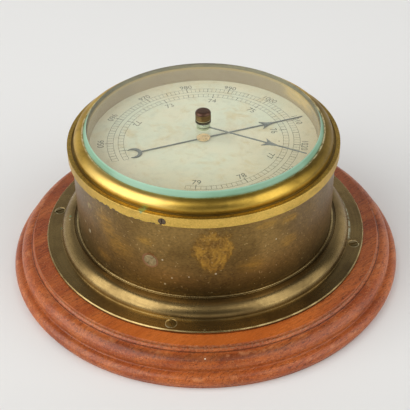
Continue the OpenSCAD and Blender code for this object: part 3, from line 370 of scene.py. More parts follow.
class Nodes:
    """A node tree, wired in few words."""

    def __init__(self, tree: bpy.types.NodeTree) -> None:
        """Starts with the tree emptied."""
        self.tree = tree
        self.tree.nodes.clear()

    def add(self, kind: str, **settings: object) -> bpy.types.Node:
        """Adds a node.

        Args:
            kind: Its type.
            settings: Some of its settings, by name.

        Returns:
            The node.
        """
        node = self.tree.nodes.new(kind)
        for name, value in settings.items():
            setattr(node, name, value)
        return node

    def wire(self, out: Socket, into: Socket) -> None:
        """Joins two sockets."""
        self.tree.links.new(out, into)

    def feed(self, socket: Socket, value: object) -> None:
        """Gives a socket its value.

        Args:
            socket: The socket.
            value: Another socket, a number, or a tuple, which may lack the alpha.
        """
        if isinstance(value, Socket):
            self.wire(value, socket)
        elif isinstance(value, tuple) and len(socket.default_value) > len(value):
            socket.default_value = (*value, 1.0)
        else:
            socket.default_value = value

    def maths(self, operation: str, a: object, b: object = 0.0) -> Socket:
        """Does one step of arithmetic on numbers.

        Args:
            operation: The name of the step.
            a: A socket or a number.
            b: Another.

        Returns:
            The outcome.
        """
        node = self.add("ShaderNodeMath", operation=operation)
        self.feed(node.inputs[0], a)
        self.feed(node.inputs[1], b)
        return node.outputs["Value"]

    def most(self, *values: Socket) -> Socket:
        """The largest of some values."""
        return reduce(lambda a, b: self.maths("MAXIMUM", a, b), values)

    def both(self, *values: object) -> Socket:
        """The product of some values: where all of them hold."""
        return reduce(lambda a, b: self.maths("MULTIPLY", a, b), values)

    def split(self, vector: Socket) -> tuple[Socket, ...]:
        """A vector's three parts."""
        node = self.add("ShaderNodeSeparateXYZ")
        self.wire(vector, node.inputs["Vector"])
        return tuple(node.outputs)

    def ramp(self, value: Socket, low: float, high: float, to_low: float = 0.0,
             to_high: float = 1.0) -> Socket:
        """Stretches a value smoothly from one range to another.

        Args:
            value: The value.
            low: The start of its range.
            high: The end of its range.
            to_low: What the start becomes.
            to_high: What the end becomes.

        Returns:
            The new value, which stays at its ends outside the range.
        """
        node = self.add("ShaderNodeMapRange", interpolation_type="SMOOTHSTEP")
        self.wire(value, node.inputs["Value"])
        for name, number in (("From Min", low), ("From Max", high), ("To Min", to_low), ("To Max", to_high)):
            node.inputs[name].default_value = number
        return node.outputs["Result"]


class Graph(Nodes):
    """A material's nodes, with the colour that is laid on it so far. Lengths are in millimetres."""

    def __init__(self, name: str) -> None:
        """Starts a material with its shader and the places on its piece.

        Args:
            name: The material's name.
        """
        self.material = bpy.data.materials.new(name)
        self.material.use_nodes = True
        super().__init__(self.material.node_tree)
        self.out = self.add("ShaderNodeOutputMaterial")
        self.shader = self.add("ShaderNodeBsdfPrincipled")
        self.wire(self.shader.outputs["BSDF"], self.out.inputs["Surface"])
        self.place = self.vector("MULTIPLY", self.add("ShaderNodeTexCoord").outputs["Object"], (1 / MM,) * 3)
        x, y, self.height = self.split(self.place)
        self.radius = self.length(x, y)
        self.angle = self.maths("MULTIPLY", self.maths("ARCTAN2", y, x), math.degrees(1))
        self.tone: Socket | None = None

    def plain(self, **values: object) -> None:
        """Sets plain values on the shader, with underscores for spaces in the names."""
        for name, value in values.items():
            self.shader.inputs[name.replace("_", " ")].default_value = value

    def vector(self, operation: str, a: object, b: object) -> Socket:
        """Does one step of arithmetic on vectors.

        Args:
            operation: The name of the step.
            a: A socket or a tuple.
            b: Another.

        Returns:
            The outcome.
        """
        node = self.add("ShaderNodeVectorMath", operation=operation)
        self.feed(node.inputs[0], a)
        self.feed(node.inputs[1], b)
        return node.outputs["Value" if operation == "DISTANCE" else "Vector"]

    def length(self, x: Socket, y: Socket) -> Socket:
        """The length of a flat vector."""
        return self.maths("SQRT", self.maths("ADD", self.both(x, x), self.both(y, y)))

    def cells(self, along: float, across: float, degrees: float = 0.0) -> Socket:
        """Object coordinates for a grain that runs at an angle to X.

        Args:
            along: The length of a cell in millimetres.
            across: Its width and height.
            degrees: The grain's angle.

        Returns:
            Coordinates that count cells.
        """
        node = self.add("ShaderNodeVectorRotate", rotation_type="Z_AXIS")
        node.inputs["Angle"].default_value = -math.radians(degrees)
        self.wire(self.place, node.inputs["Vector"])
        return self.vector("MULTIPLY", node.outputs["Vector"], (1 / along, 1 / across, 1 / across))

    def round_cells(self, around: float, across: float, radius: float) -> Socket:
        """Object coordinates for marks that run round the axis.

        Args:
            around: The length of a cell round the axis, in millimetres.
            across: Its width and height.
            radius: The radius of the wall that they are on.

        Returns:
            Coordinates that count cells.
        """
        node = self.add("ShaderNodeCombineXYZ")
        for socket, value, share in ((node.inputs[0], self.angle, math.radians(radius) / around),
                                     (node.inputs[1], self.radius, 1 / across),
                                     (node.inputs[2], self.height, 1 / across)):
            self.wire(self.both(value, share), socket)
        return node.outputs["Vector"]

    def noise(self, size: object, detail: float = 4.0, rough: float = 0.55, warp: float = 0.0) -> Socket:
        """Noise from 0 to 1.

        Args:
            size: The size of its cells in millimetres, or a socket of coordinates that count cells.
            detail: The number of finer layers.
            rough: The weight of the finer layers.
            warp: How far the cells are bent.

        Returns:
            The noise.
        """
        node = self.add("ShaderNodeTexNoise")
        counted = isinstance(size, Socket)
        self.wire(size if counted else self.place, node.inputs["Vector"])
        for name, value in (("Scale", 1.0 if counted else 1.0 / size), ("Detail", detail),
                            ("Roughness", rough), ("Distortion", warp)):
            node.inputs[name].default_value = value
        return node.outputs["Fac"]

    def torn(self, far: Socket, ragged: Socket | None, amount: float) -> Socket:
        """Makes a distance uneven.

        Args:
            far: The distance.
            ragged: A noise, or none.
            amount: How much the noise adds.

        Returns:
            The new distance.
        """
        if ragged is None:
            return far
        return self.maths("ADD", far, self.both(self.maths("SUBTRACT", ragged, 0.5), amount))

    def band(self, value: Socket, centre: float, half: float, soft: float) -> Socket:
        """1 where a value lies within half of a centre, and 0 past the soft edge."""
        off = self.maths("ABSOLUTE", self.maths("SUBTRACT", value, centre))
        return self.ramp(off, half, half + soft, 1.0, 0.0)

    def strip(self, at: Point, half: Point, soft: Point) -> Socket:
        """1 in a strip round the axis, and 0 past its soft edges.

        Args:
            at: The radius and height of its middle.
            half: Half its width across and up.
            soft: The width of its edges across and up.

        Returns:
            The strip.
        """
        across, up = map(self.band, (self.radius, self.height), at, half, soft)
        return self.both(across, up)

    def ring(self, radius: float, height: float, half: float, soft: float) -> Socket:
        """1 near a circle round the axis, and 0 past the soft edge.

        Args:
            radius: The circle's radius.
            height: Its height.
            half: How near.
            soft: The width of the edge.

        Returns:
            The ring.
        """
        far = self.length(self.maths("SUBTRACT", self.radius, radius),
                          self.maths("SUBTRACT", self.height, height))
        return self.ramp(far, half, half + soft, 1.0, 0.0)

    def blot(self, degrees: float, radius: float, height: float, half: float, soft: float,
             ragged: Socket | None = None) -> Socket:
        """1 inside a round blot, given by its place, and 0 past its soft edge.

        Args:
            degrees: The angle of its centre round the axis.
            radius: The distance of its centre from the axis.
            height: The height of its centre.
            half: Its radius.
            soft: The width of its edge.
            ragged: A noise that makes the edge uneven.

        Returns:
            The blot.
        """
        a = math.radians(degrees)
        far = self.vector("DISTANCE", self.place, (radius * math.cos(a), radius * math.sin(a), height))
        return self.ramp(self.torn(far, ragged, half * 2.2), half, half + soft, 1.0, 0.0)

    def patch(self, degrees: float, height: float, wide: float, high: float, radius: float,
              taper: float = 0.0, ragged: Socket | None = None, soft: float = 0.3) -> Socket:
        """1 inside an oval patch on a round wall, and 0 outside.

        Args:
            degrees: The angle of its centre round the axis.
            height: The height of its centre.
            wide: Half its width along the wall.
            high: Half its height.
            radius: The wall's radius.
            taper: How much wider it gets for each millimetre up.
            ragged: A noise that makes the edge uneven.
            soft: The width of its edge as a share of its size.

        Returns:
            The patch.
        """
        u = self.both(self.maths("SUBTRACT", self.angle, degrees), math.radians(radius))
        v = self.maths("SUBTRACT", self.height, height)
        reach = self.maths("ADD", self.both(v, taper), wide)
        far = self.length(self.maths("DIVIDE", u, reach), self.both(v, 1 / high))
        return self.ramp(self.torn(far, ragged, 0.9), 1 - soft, 1.0, 1.0, 0.0)

    def mix(self, share: object, a: object, b: object) -> Socket:
        """Mixes two colours.

        Args:
            share: How much of b, a socket or a number.
            a: The first colour, a socket or a tuple.
            b: The second colour.

        Returns:
            The colour between them.
        """
        node = self.add("ShaderNodeMix", data_type="RGBA")
        for index, value in ((0, share), (6, a), (7, b)):
            self.feed(node.inputs[index], value)
        return node.outputs[2]

    def tint(self, colour: object, *shares: object) -> None:
        """Lays a colour over the tone so far, as far as all the shares hold."""
        self.tone = self.mix(self.both(*shares), self.tone, colour)

    def dim(self, least: float, *shares: object) -> None:
        """Darkens the tone so far.

        Args:
            least: What is left of its brightness where the shares are 1.
            shares: It darkens as far as all of them hold.
        """
        share = self.both(*shares)
        dark = self.vector("SCALE", self.tone, (0, 0, 0))
        dark.node.inputs["Scale"].default_value = least
        self.tone = self.mix(share, self.tone, dark)

    def rough(self, value: Socket) -> None:
        """Drives the shader's roughness."""
        self.wire(value, self.shader.inputs["Roughness"])

    def bump(self, height: Socket, depth_mm: float, strength: float = 1.0) -> None:
        """Gives the surface relief.

        Args:
            height: The relief's height, from 0 to 1.
            depth_mm: How deep it is.
            strength: How strongly it shows.
        """
        node = self.add("ShaderNodeBump")
        node.inputs["Strength"].default_value = strength
        node.inputs["Distance"].default_value = depth_mm * MM
        self.wire(height, node.inputs["Height"])
        self.wire(node.outputs["Normal"], self.shader.inputs["Normal"])

    def fade(self, share: Socket, shadow: Colour = (1.0, 1.0, 1.0)) -> None:
        """Lets light straight through the surface.

        Args:
            share: Where it does.
            shadow: The colour of the light that gets through.
        """
        clear = self.add("ShaderNodeBsdfTransparent")
        self.feed(clear.inputs["Color"], shadow)
        mixed = self.add("ShaderNodeMixShader")
        self.wire(share, mixed.inputs[0])
        self.wire(self.shader.outputs["BSDF"], mixed.inputs[1])
        self.wire(clear.outputs["BSDF"], mixed.inputs[2])
        self.wire(mixed.outputs["Shader"], self.out.inputs["Surface"])


@dataclass(frozen=True)
class Finish:
    """A finish that is laid on a material's nodes."""

    name: str

    def paint(self, g: Graph) -> None:
        """Lays the colours and the relief."""
        raise NotImplementedError

    def build(self) -> bpy.types.Material:
        """Makes the material.

        Returns:
            The material.
        """
        g = Graph(self.name)
        self.paint(g)
        if g.tone is not None:
            g.wire(g.tone, g.shader.inputs["Base Color"])
        return g.material


@dataclass(frozen=True)
class Wood(Finish):
    """Polished mahogany whose grain crosses the board, with painted shade in its hollows and painted light
    and shade at its front.
    """

    name: str = "mahogany"
    grain: float = 40.0
    dark: Colour = (0.105, 0.020, 0.006)
    middle: Colour = (0.330, 0.067, 0.013)
    light: Colour = (0.48, 0.125, 0.025)
    fleck: Colour = (0.66, 0.30, 0.13)
    dust: Colour = (0.40, 0.26, 0.15)
    red: Colour = (0.56, 0.130, 0.014)
    worn: Colour = (0.62, 0.26, 0.11)
    chip: Colour = (0.80, 0.62, 0.45)
    cove: Point = (113.2, 20.2)
    step: Point = (114.6, 18.3)
    crevice: Point = (121.2, 8.8)
    torus_front: Point = (118.2, 16.8)
    torus_top: Point = (116.6, 17.6)
    bead: Point = (125.4, 7.3)
    chip_at: Place = (-90.7, 118.5, 17.0)

    def paint(self, g: Graph) -> None:
        """Lays the grain, the pores, the edges' wear, painted shade in the hollows and painted light and
        shade at the front.

        Args:
            g: The material's nodes.
        """
        broad = g.noise(g.cells(90, 16, self.grain), 4, 0.55, 0.5)
        streak = g.noise(g.cells(11, 1.1, self.grain), 5, 0.65, 0.3)
        pores = g.noise(g.cells(3.4, 0.75, self.grain), 3, 0.6)
        specks = g.noise(0.85, 2, 0.5)
        cloud = g.noise(34, 3, 0.5)
        g.tone = g.mix(g.ramp(broad, 0.34, 0.66), self.middle, self.light)
        g.tint(self.dark, g.ramp(streak, 0.44, 0.70, 0.0, 0.6))
        g.tint(self.dark, g.ramp(pores, 0.52, 0.68, 0.0, 0.75))
        g.dim(0.72, g.ramp(cloud, 0.45, 0.75, 0.0, 0.6))
        g.tint(self.fleck, g.ramp(specks, 0.58, 0.70, 0.0, 0.36))
        g.dim(0.5, g.ramp(specks, 0.38, 0.28, 0.0, 0.8))
        # Painted shade: darker in the cove, at the step and in the crevice between the torus and the bead.
        g.dim(0.30, g.most(g.ring(*self.cove, 0.1, 0.5), g.ring(*self.step, 0.2, 0.5),
                           g.both(g.ring(*self.crevice, 0.1, 0.7), 0.45)), 0.8)
        g.tint(self.dust, g.band(g.radius, self.cove[0], 0.15, 0.25),
               g.ramp(g.noise(1.1, 2), 0.42, 0.6, 0.0, 0.3))
        # Painted shade on the torus's front, and painted light that makes the plateau's front brighter and
        # oranger.
        front = g.band(g.angle, FRONT, 18, 30)
        g.dim(0.6, front, g.ring(*self.torus_front, 1.0, 2.0), 0.9)
        g.tint(self.red, front, g.ramp(g.radius, 113.0, 112.4), 0.45)
        g.tint(self.worn, g.most(g.ring(*self.torus_top, 0.6, 1.6), g.ring(*self.bead, 0.4, 1.4)),
               g.ramp(g.noise(9, 5, 0.65), 0.5, 0.72, 0.0, 0.5))
        g.tint(self.chip, g.blot(*self.chip_at, 0.25, 0.35))
        g.rough(g.ramp(streak, 0.3, 0.7, 0.34, 0.48))
        g.bump(g.maths("ADD", g.both(streak, 0.6), g.both(pores, -0.8)), 0.10, 0.35)
        g.plain(Coat_Weight=0.22, Coat_Roughness=0.20, Specular_IOR_Level=0.26)


@dataclass(frozen=True)
class Brass(Finish):
    """Brass that has aged: a clean colour under a darker film with clouds and specks."""

    clean: Colour
    film: Colour
    film_share: float = 0.5
    roughness: float = 0.3
    metallic: float = 1.0
    turning: float = 0.15
    cloud: float = 24.0
    specks: float = 0.4

    def marks(self, g: Graph) -> None:
        """Adds the marks that only this brass has."""

    def paint(self, g: Graph) -> None:
        """Lays the film, the marks and the fine lines of turning.

        Args:
            g: The material's nodes.
        """
        cloud = g.noise(self.cloud, 5, 0.55, 0.4)
        fine = g.noise(2.4, 4, 0.6)
        share = g.maths("ADD", g.ramp(cloud, 0.34, 0.68), g.both(g.ramp(fine, 0.35, 0.7), 0.3))
        clamp = g.add("ShaderNodeClamp")
        g.wire(g.maths("ADD", g.both(share, self.film_share), self.film_share * 0.35), clamp.inputs["Value"])
        film = clamp.outputs["Result"]
        g.tone = g.mix(film, self.clean, self.film)
        g.dim(0.35, g.ramp(g.noise(1.1, 2, 0.5), 0.64, 0.74, 0.0, self.specks))
        self.marks(g)
        g.plain(Metallic=self.metallic)
        g.rough(g.maths("ADD", g.both(film, 0.16), g.maths("ADD", g.both(fine, 0.08), self.roughness - 0.04)))
        lines = g.noise(g.round_cells(40, 0.24, 85), 3, 0.6)
        g.bump(g.maths("ADD", g.both(lines, self.turning), g.both(fine, 0.2)), 0.05, 0.4)


@dataclass(frozen=True)
class FlangeBrass(Brass):
    """The foot's dark brass, with bright edges, worn and with a painted highlight, painted shade, and a
    little crust.

    Spots are given by angle, radius, height, half width and softness.
    """

    bright: Colour = (0.62, 0.48, 0.22)
    crust: Colour = (0.62, 0.60, 0.42)
    verdigris: Colour = (0.22, 0.36, 0.20)
    moulding_edge: Point = (94.3, 24.6)
    outer_edge: Point = (103.7, 23.8)
    thin_ring: Point = (83.2, 32.7)
    groove: Point = (84.6, 31.2)
    caked: Point = (94.9, 24.2)
    caked_angle: float = 1.5
    green_at: Spots = ((-176.9, 94.2, 24.6, 0.9, 0.8), (-178.2, 88.0, 31.5, 0.6, 0.7))
    crust_at: Spots = ((-90.8, 102.2, 24.0, 0.5, 0.5), (-176.0, 88.5, 31.8, 0.35, 0.4))

    def marks(self, g: Graph) -> None:
        """Adds the bright edges, worn and with a painted highlight, the painted shade, the streaks, the crust
        and the green spots.

        Args:
            g: The material's nodes.
        """
        # The bright edges: worn brass with a painted highlight on it, strongest on the outer edge away from
        # the front left.
        broken = g.noise(g.round_cells(7, 3, 90), 4, 0.6)
        edge = g.both(g.ring(*self.moulding_edge, 0.12, 0.4), g.ramp(broken, 0.3, 0.55, 0.35, 1.0))
        outer = g.both(g.ring(*self.outer_edge, 0.25, 0.4), g.ramp(broken, 0.36, 0.6, 0.1, 0.9),
                       g.ramp(g.angle, -95, -70, 0.5, 1.0))
        foot = g.both(g.strip(self.thin_ring, (0.35, 0.15), (0.3, 0.4)), g.ramp(broken, 0.25, 0.6, 0.25, 0.9))
        g.tint(self.bright, g.most(edge, outer, foot), 0.85)
        # Painted shade: the flat and the moulding darker at the front right.
        g.dim(0.6, g.band(g.angle, -50, 16, 18), g.ramp(g.height, 24.4, 24.1))
        g.dim(0.5, g.band(g.angle, -42, 9, 16), g.ramp(g.height, 24.3, 25.0), 0.8)
        g.dim(0.6, g.ramp(g.noise(g.round_cells(26, 0.9, 90), 4, 0.7), 0.42, 0.66), 0.4)
        # Painted shade in the groove at the drum's foot.
        g.dim(0.55, g.strip(self.groove, (0.6, 0.5), (0.35, 0.4)))
        g.tint(self.crust, g.strip(self.caked, (0.45, 0.4), (0.5, 0.5)),
               g.band(g.angle, self.caked_angle, 12, 4), g.ramp(g.noise(3, 4, 0.7), 0.38, 0.5))
        uneven = g.noise(1.6, 3, 0.6)
        g.tint(self.verdigris, g.most(*(g.blot(*at, uneven) for at in self.green_at)), 0.8)
        g.tint(self.crust, g.most(*(g.blot(*at) for at in self.crust_at)), 0.7)


@dataclass(frozen=True)
class ScrewBrass(Brass):
    """Dark screw heads with bright rims, worn and with a painted highlight, each given by its angle, radius,
    height and head radius.
    """

    at: tuple[tuple[float, float, float, float], ...] = ()
    worn: Colour = (0.70, 0.60, 0.34)
    share: float = 0.8
    rim: float = 0.75

    def marks(self, g: Graph) -> None:
        """Adds the bright rims: worn brass with a painted highlight.

        Args:
            g: The material's nodes.
        """
        # Each rim is worn brass with a painted highlight on it.
        for degrees, radius, height, head in self.at:
            rim = g.maths("SUBTRACT", g.blot(degrees, radius, height, head + 0.1, 0.2),
                          g.blot(degrees, radius, height, head - self.rim, 0.3))
            g.tint(self.worn, g.ramp(rim, 0.0, 1.0), g.ramp(g.noise(1.4, 3, 0.6), 0.3, 0.55, 0.45, 1.0),
                   self.share)


@dataclass(frozen=True)
class DrumPatina(Brass):
    """The drum's brown patina, with polished patches, smears and pale specks, and painted sheen, shade and
    highlight.

    A smear is given by its angle, height, half width, half height and softness, and a speck by its angle,
    height and radius.
    """

    wall: float = 82.3
    violet: Colour = (0.215, 0.150, 0.078)
    gold: Colour = (0.52, 0.285, 0.045)
    vein: Colour = (0.20, 0.10, 0.022)
    spark: Colour = (0.62, 0.38, 0.10)
    copper: Colour = (0.30, 0.155, 0.075)
    speck: Colour = (0.70, 0.66, 0.45)
    dot: Colour = (0.55, 0.40, 0.17)
    # Mostly polished brass; the smears at -128 and -135 degrees are also a painted highlight.
    smears: Spots = (
        (-65, 79, 9, 3.2, 0.7), (-53, 77, 8, 3.5, 0.7), (-53, 61, 9, 6, 0.8), (-114.6, 69, 8, 5, 0.8),
        (-70, 52, 12, 8, 0.9), (-128, 58, 14, 12, 0.9), (-135, 68, 12, 14, 0.9), (-139, 42, 10, 6, 0.9))
    drop: Point = (-87, 65.5)
    drop_half: Point = (12.6, 17.0)
    drop_core: Point = (11.4, 15.6)
    drop_taper: float = 0.28
    specks_at: tuple[Place, ...] = (
        (-149, 52.1, 0.55), (-149, 51.0, 0.5), (-154, 38.8, 0.4), (-153, 55, 0.4), (-107.2, 39.4, 0.4),
        (-104.1, 44.9, 0.35), (-107.8, 57.7, 0.35), (-86, 49.5, 0.4), (-60, 66, 0.3), (-97, 47, 0.3))
    large_screw: Place = (-113.3, 82.3, 55.3)
    small_screw: Place = (-147, 82.3, 72.7)

    def marks(self, g: Graph) -> None:
        """Adds the painted sheen at the sides, painted shade low down, the smears, the polished drop and the
        specks.

        Args:
            g: The material's nodes.
        """
        wide = g.noise(15, 4, 0.55, 0.6)
        # Painted sheen: violet grey on the upper sides.
        sides = g.most(g.ramp(g.angle, -120, -150), g.ramp(g.angle, -62, -35))
        g.tint(self.violet, sides, g.ramp(g.height, 52, 74), g.ramp(wide, 0.3, 0.6, 0.35, 0.9))
        # Painted shade: darker towards the foot.
        g.dim(0.42, g.ramp(g.maths("ADD", g.height, g.both(wide, 14)), 62, 38, 0.0, 0.85))
        brushed = g.noise(g.round_cells(9, 1.3, self.wall), 4, 0.65)
        # Golden smears; those at -128 and -135 degrees are partly a painted highlight.
        smear = g.most(*(g.patch(*at, self.wall, 0, wide, soft) for *at, soft in self.smears))
        g.tint(self.gold, smear, g.ramp(brushed, 0.34, 0.66, 0.15, 0.6))
        ragged = g.noise(5, 5, 0.65)
        drop = g.patch(*self.drop, *self.drop_half, self.wall, self.drop_taper, ragged, 0.2)
        core = g.patch(*self.drop, *self.drop_core, self.wall, self.drop_taper, ragged, 0.16)
        veins = g.noise(g.round_cells(6, 9, self.wall), 6, 0.7, 0.7)
        inside = g.mix(g.ramp(veins, 0.38, 0.62), self.gold, self.vein)
        inside = g.mix(g.ramp(g.noise(1.3, 3, 0.6), 0.5, 0.7, 0.0, 0.5), inside, self.spark)
        g.tint(inside, drop, g.ramp(veins, 0.2, 0.7, 0.95, 0.75))
        g.dim(0.45, g.both(drop, g.maths("SUBTRACT", 1.0, core)), 0.45)
        grit = g.noise(g.round_cells(1.8, 1.1, self.wall), 4, 0.65)
        g.dim(0.45, g.ramp(grit, 0.42, 0.68, 0.0, 0.5))
        g.tint(self.gold, g.ramp(grit, 0.42, 0.28, 0.0, 0.35))
        ring = g.both(g.blot(*self.large_screw, 4.8, 0.7),
                      g.maths("SUBTRACT", 1.0, g.blot(*self.large_screw, 3.6, 0.4)))
        g.tint(self.copper, g.most(ring, g.both(g.blot(*self.small_screw, 2.7, 0.5), 0.5)))
        spots = g.most(*(g.blot(a, self.wall, z, r, r) for a, z, r in self.specks_at))
        g.tint(self.speck, spots, 0.85)
        g.tint(self.dot, g.ramp(g.noise(1.7, 1, 0.5), 0.69, 0.76, 0.0, 0.6))


@dataclass(frozen=True)
class BezelBrass(Brass):
    """The bezel's polished brass, with a dark groove, brown patina low on its band, and painted highlights
    and shade.
    """

    dirt: Colour = (0.17, 0.115, 0.032)
    patina: Colour = (0.16, 0.115, 0.07)
    verdigris: Colour = (0.24, 0.42, 0.27)
    shine: Colour = (0.90, 0.61, 0.16)
    glare: Colour = (0.86, 0.60, 0.19)
    bright: Colour = (1.0, 0.86, 0.50)
    band_radius: float = 84.7
    groove_radius: float = 81.2
    land: Point = (81.9, 91.4)
    patina_at: float = -122.5
    patina_half: float = 14.5
    glare_at: float = -128.0
    green_at: Place = (-115.3, 82.6, 92.0)

    def marks(self, g: Graph) -> None:
        """Adds the groove's dirt, the land's specks, the jagged patina, and painted shade, glare and
        highlights.

        Args:
            g: The material's nodes.
        """
        grainy = g.noise(0.9, 3, 0.6)
        g.tint(self.dirt, g.band(g.radius, self.groove_radius, 0.75, 0.3), g.ramp(g.height, 92.6, 91.6),
               g.ramp(grainy, 0.3, 0.6, 1.0, 0.88))
        land = g.both(g.ramp(g.radius, self.land[0], self.land[0] + 0.4),
                      g.ramp(g.height, self.land[1], self.land[1] + 0.5))
        g.tint(self.dirt, land, g.ramp(grainy, 0.42, 0.66, 0.1, 0.65))
        wall = g.ramp(g.radius, self.band_radius - 0.4, self.band_radius - 0.1)
        # Painted reflection: the band brighter at the front.
        g.tint(self.shine, g.both(wall, g.ramp(g.height, 92.1, 91.8)), g.ramp(grainy, 0.3, 0.7, 0.75, 0.35),
               g.band(g.angle, FRONT, 25, 40))
        jag = g.both(g.noise(g.round_cells(3.5, 3.5, self.band_radius), 4, 0.7), 5.5)
        top = g.maths("ADD", jag, g.ramp(g.angle, -137, -118, 84.0, 83.2))
        g.tint(self.patina, g.ramp(g.maths("SUBTRACT", top, g.height), -0.1, 0.25),
               g.band(g.angle, self.patina_at, self.patina_half, 3.0), wall)
        g.tint(self.verdigris, g.blot(*self.green_at, 1.7, 0.8, g.noise(1.6, 3, 0.6)), 0.8)
        round_top = g.ramp(g.radius, 80.6, 80.2)
        # Painted shade on the round, at the right and at the front.
        g.dim(0.42, g.band(g.angle, -12, 26, 24), round_top)
        g.dim(0.55, g.band(g.angle, -85, 6, 14), round_top, 0.8)
        g.dim(0.6, g.ramp(g.noise(g.round_cells(11, 5, 80), 5, 0.65, 0.5), 0.45, 0.7), 0.6)
        g.tint(self.glare, g.band(g.angle, self.glare_at, 16, 14), round_top, 0.55)
        # Painted highlight on the lip's inner edge, stronger at the sides.
        side = g.most(g.ramp(g.angle, -128, -150), g.ramp(g.angle, -50, -28))
        g.tint(self.bright, g.ramp(g.radius, 75.5, 75.0), g.ramp(g.height, 98.5, 98.9),
               g.ramp(side, 0, 1, 0.35, 1.0),
               g.ramp(g.noise(g.round_cells(5, 3, 75), 4, 0.7), 0.4, 0.6, 0.15, 1.0))


@dataclass(frozen=True)
class SightBrass(Brass):
    """The inner wall's matt brass, with a painted golden reflection at one place."""

    gold: Colour = (0.62, 0.44, 0.17)
    # The angle of the painted golden reflection.
    polished: float = 28.0
    gold_z: Point = (87.0, 91.0)
    line_z: Point = (94.6, 95.4)

    def marks(self, g: Graph) -> None:
        """Adds the painted reflection and a paler line under the wall's top.

        Args:
            g: The material's nodes.
        """
        worn = g.ramp(g.noise(g.round_cells(8, 4, 71), 4, 0.6), 0.3, 0.6, 0.4, 1.0)
        # Painted reflection: a golden patch on the wall at one angle, broken up by a noise.
        g.tint(self.gold, g.band(g.angle, self.polished, 6, 12), g.ramp(g.height, *self.gold_z), worn, 0.9)
        g.tint(self.gold, g.ramp(g.height, *self.line_z), 0.35)


@dataclass(frozen=True)
class KnobBrass(Brass):
    """The knob's dark brass: a reddish dome, an olive knurl and a bright line at its foot."""

    dome: Colour = (0.085, 0.040, 0.026)
    line: Colour = (0.62, 0.58, 0.34)
    dome_z: Point = (107.9, 108.5)
    groove_z: float = 104.55
    line_z: float = 104.18

    def marks(self, g: Graph) -> None:
        """Adds the dome's red film and the line at the foot.

        Args:
            g: The material's nodes.
        """
        mottled = g.noise(1.2, 3, 0.6)
        g.tint(self.dome, g.ramp(g.height, *self.dome_z), g.ramp(mottled, 0.3, 0.6, 0.65, 1.0))
        g.dim(0.3, g.band(g.height, self.groove_z, 0.15, 0.1))
        g.tint(self.line, g.band(g.height, self.line_z, 0.16, 0.1), 0.85)


@dataclass(frozen=True)
class Plain(Finish):
    """A simple finish for small pieces, with a little mottling."""

    colour: Colour
    roughness: float = 0.4
    metallic: float = 0.0
    mottle: float = 0.25
    relief: float = 0.02

    def paint(self, g: Graph) -> None:
        """Lays the mottling.

        Args:
            g: The material's nodes.
        """
        cloud = g.noise(4, 5, 0.6)
        dark = tuple(c * (1 - self.mottle) for c in self.colour)
        light = tuple(min(1.0, c * (1 + self.mottle * 0.5)) for c in self.colour)
        g.tone = g.mix(g.ramp(cloud, 0.3, 0.7), dark, light)
        g.rough(g.ramp(cloud, 0.3, 0.7, self.roughness - 0.06, self.roughness + 0.08))
        g.bump(g.noise(0.55, 3), self.relief, 0.3)
        g.plain(Metallic=self.metallic)


@dataclass(frozen=True)
class PlateGlass(Finish):
    """Thick clear glass, faintly green, that lets the lamps through."""

    name: str = "plate_glass"
    tint: Colour = (0.975, 0.992, 0.975)
    shadow: Colour = (0.95, 0.98, 0.955)

    def paint(self, g: Graph) -> None:
        """Sets the glass and lets its shadow through."""
        g.plain(Base_Color=(*self.tint, 1.0), Roughness=0.0, IOR=1.52, Transmission_Weight=1.0)
        g.fade(g.add("ShaderNodeLightPath").outputs["Is Shadow Ray"], self.shadow)


@dataclass(frozen=True)
class GroundBevel(Finish):
    """The glass's ground edge, which glows green with the light that the plate gathers."""

    name: str = "ground_bevel"
    low: Colour = (0.12, 0.16, 0.06)
    middle: Colour = (0.175, 0.335, 0.215)
    high: Colour = (0.31, 0.50, 0.37)
    far: Colour = (0.46, 0.42, 0.24)
    middle_z: Point = (98.8, 100.2)
    high_z: Point = (101.2, 102.2)

    def paint(self, g: Graph) -> None:
        """Lays the glow, paler upward and tan at the far side.

        Args:
            g: The material's nodes.
        """
        wave = g.noise(g.round_cells(22, 8, 74), 3, 0.5)
        g.tone = g.mix(g.ramp(g.height, *self.middle_z), self.low, self.middle)
        g.tint(self.high, g.ramp(g.height, *self.high_z, 0.0, 0.8))
        g.tint(self.high, g.ramp(wave, 0.35, 0.7, 0.0, 0.45))
        # Painted light: brighter at the front left.
        g.tint(self.high, g.band(g.angle, -112, 14, 14), 0.6)
        g.tint(self.far, g.band(g.angle, -FRONT, 72, 14))
        g.rough(g.ramp(g.noise(0.7, 2), 0.3, 0.7, 0.3, 0.45))
        g.plain(Specular_IOR_Level=0.3)


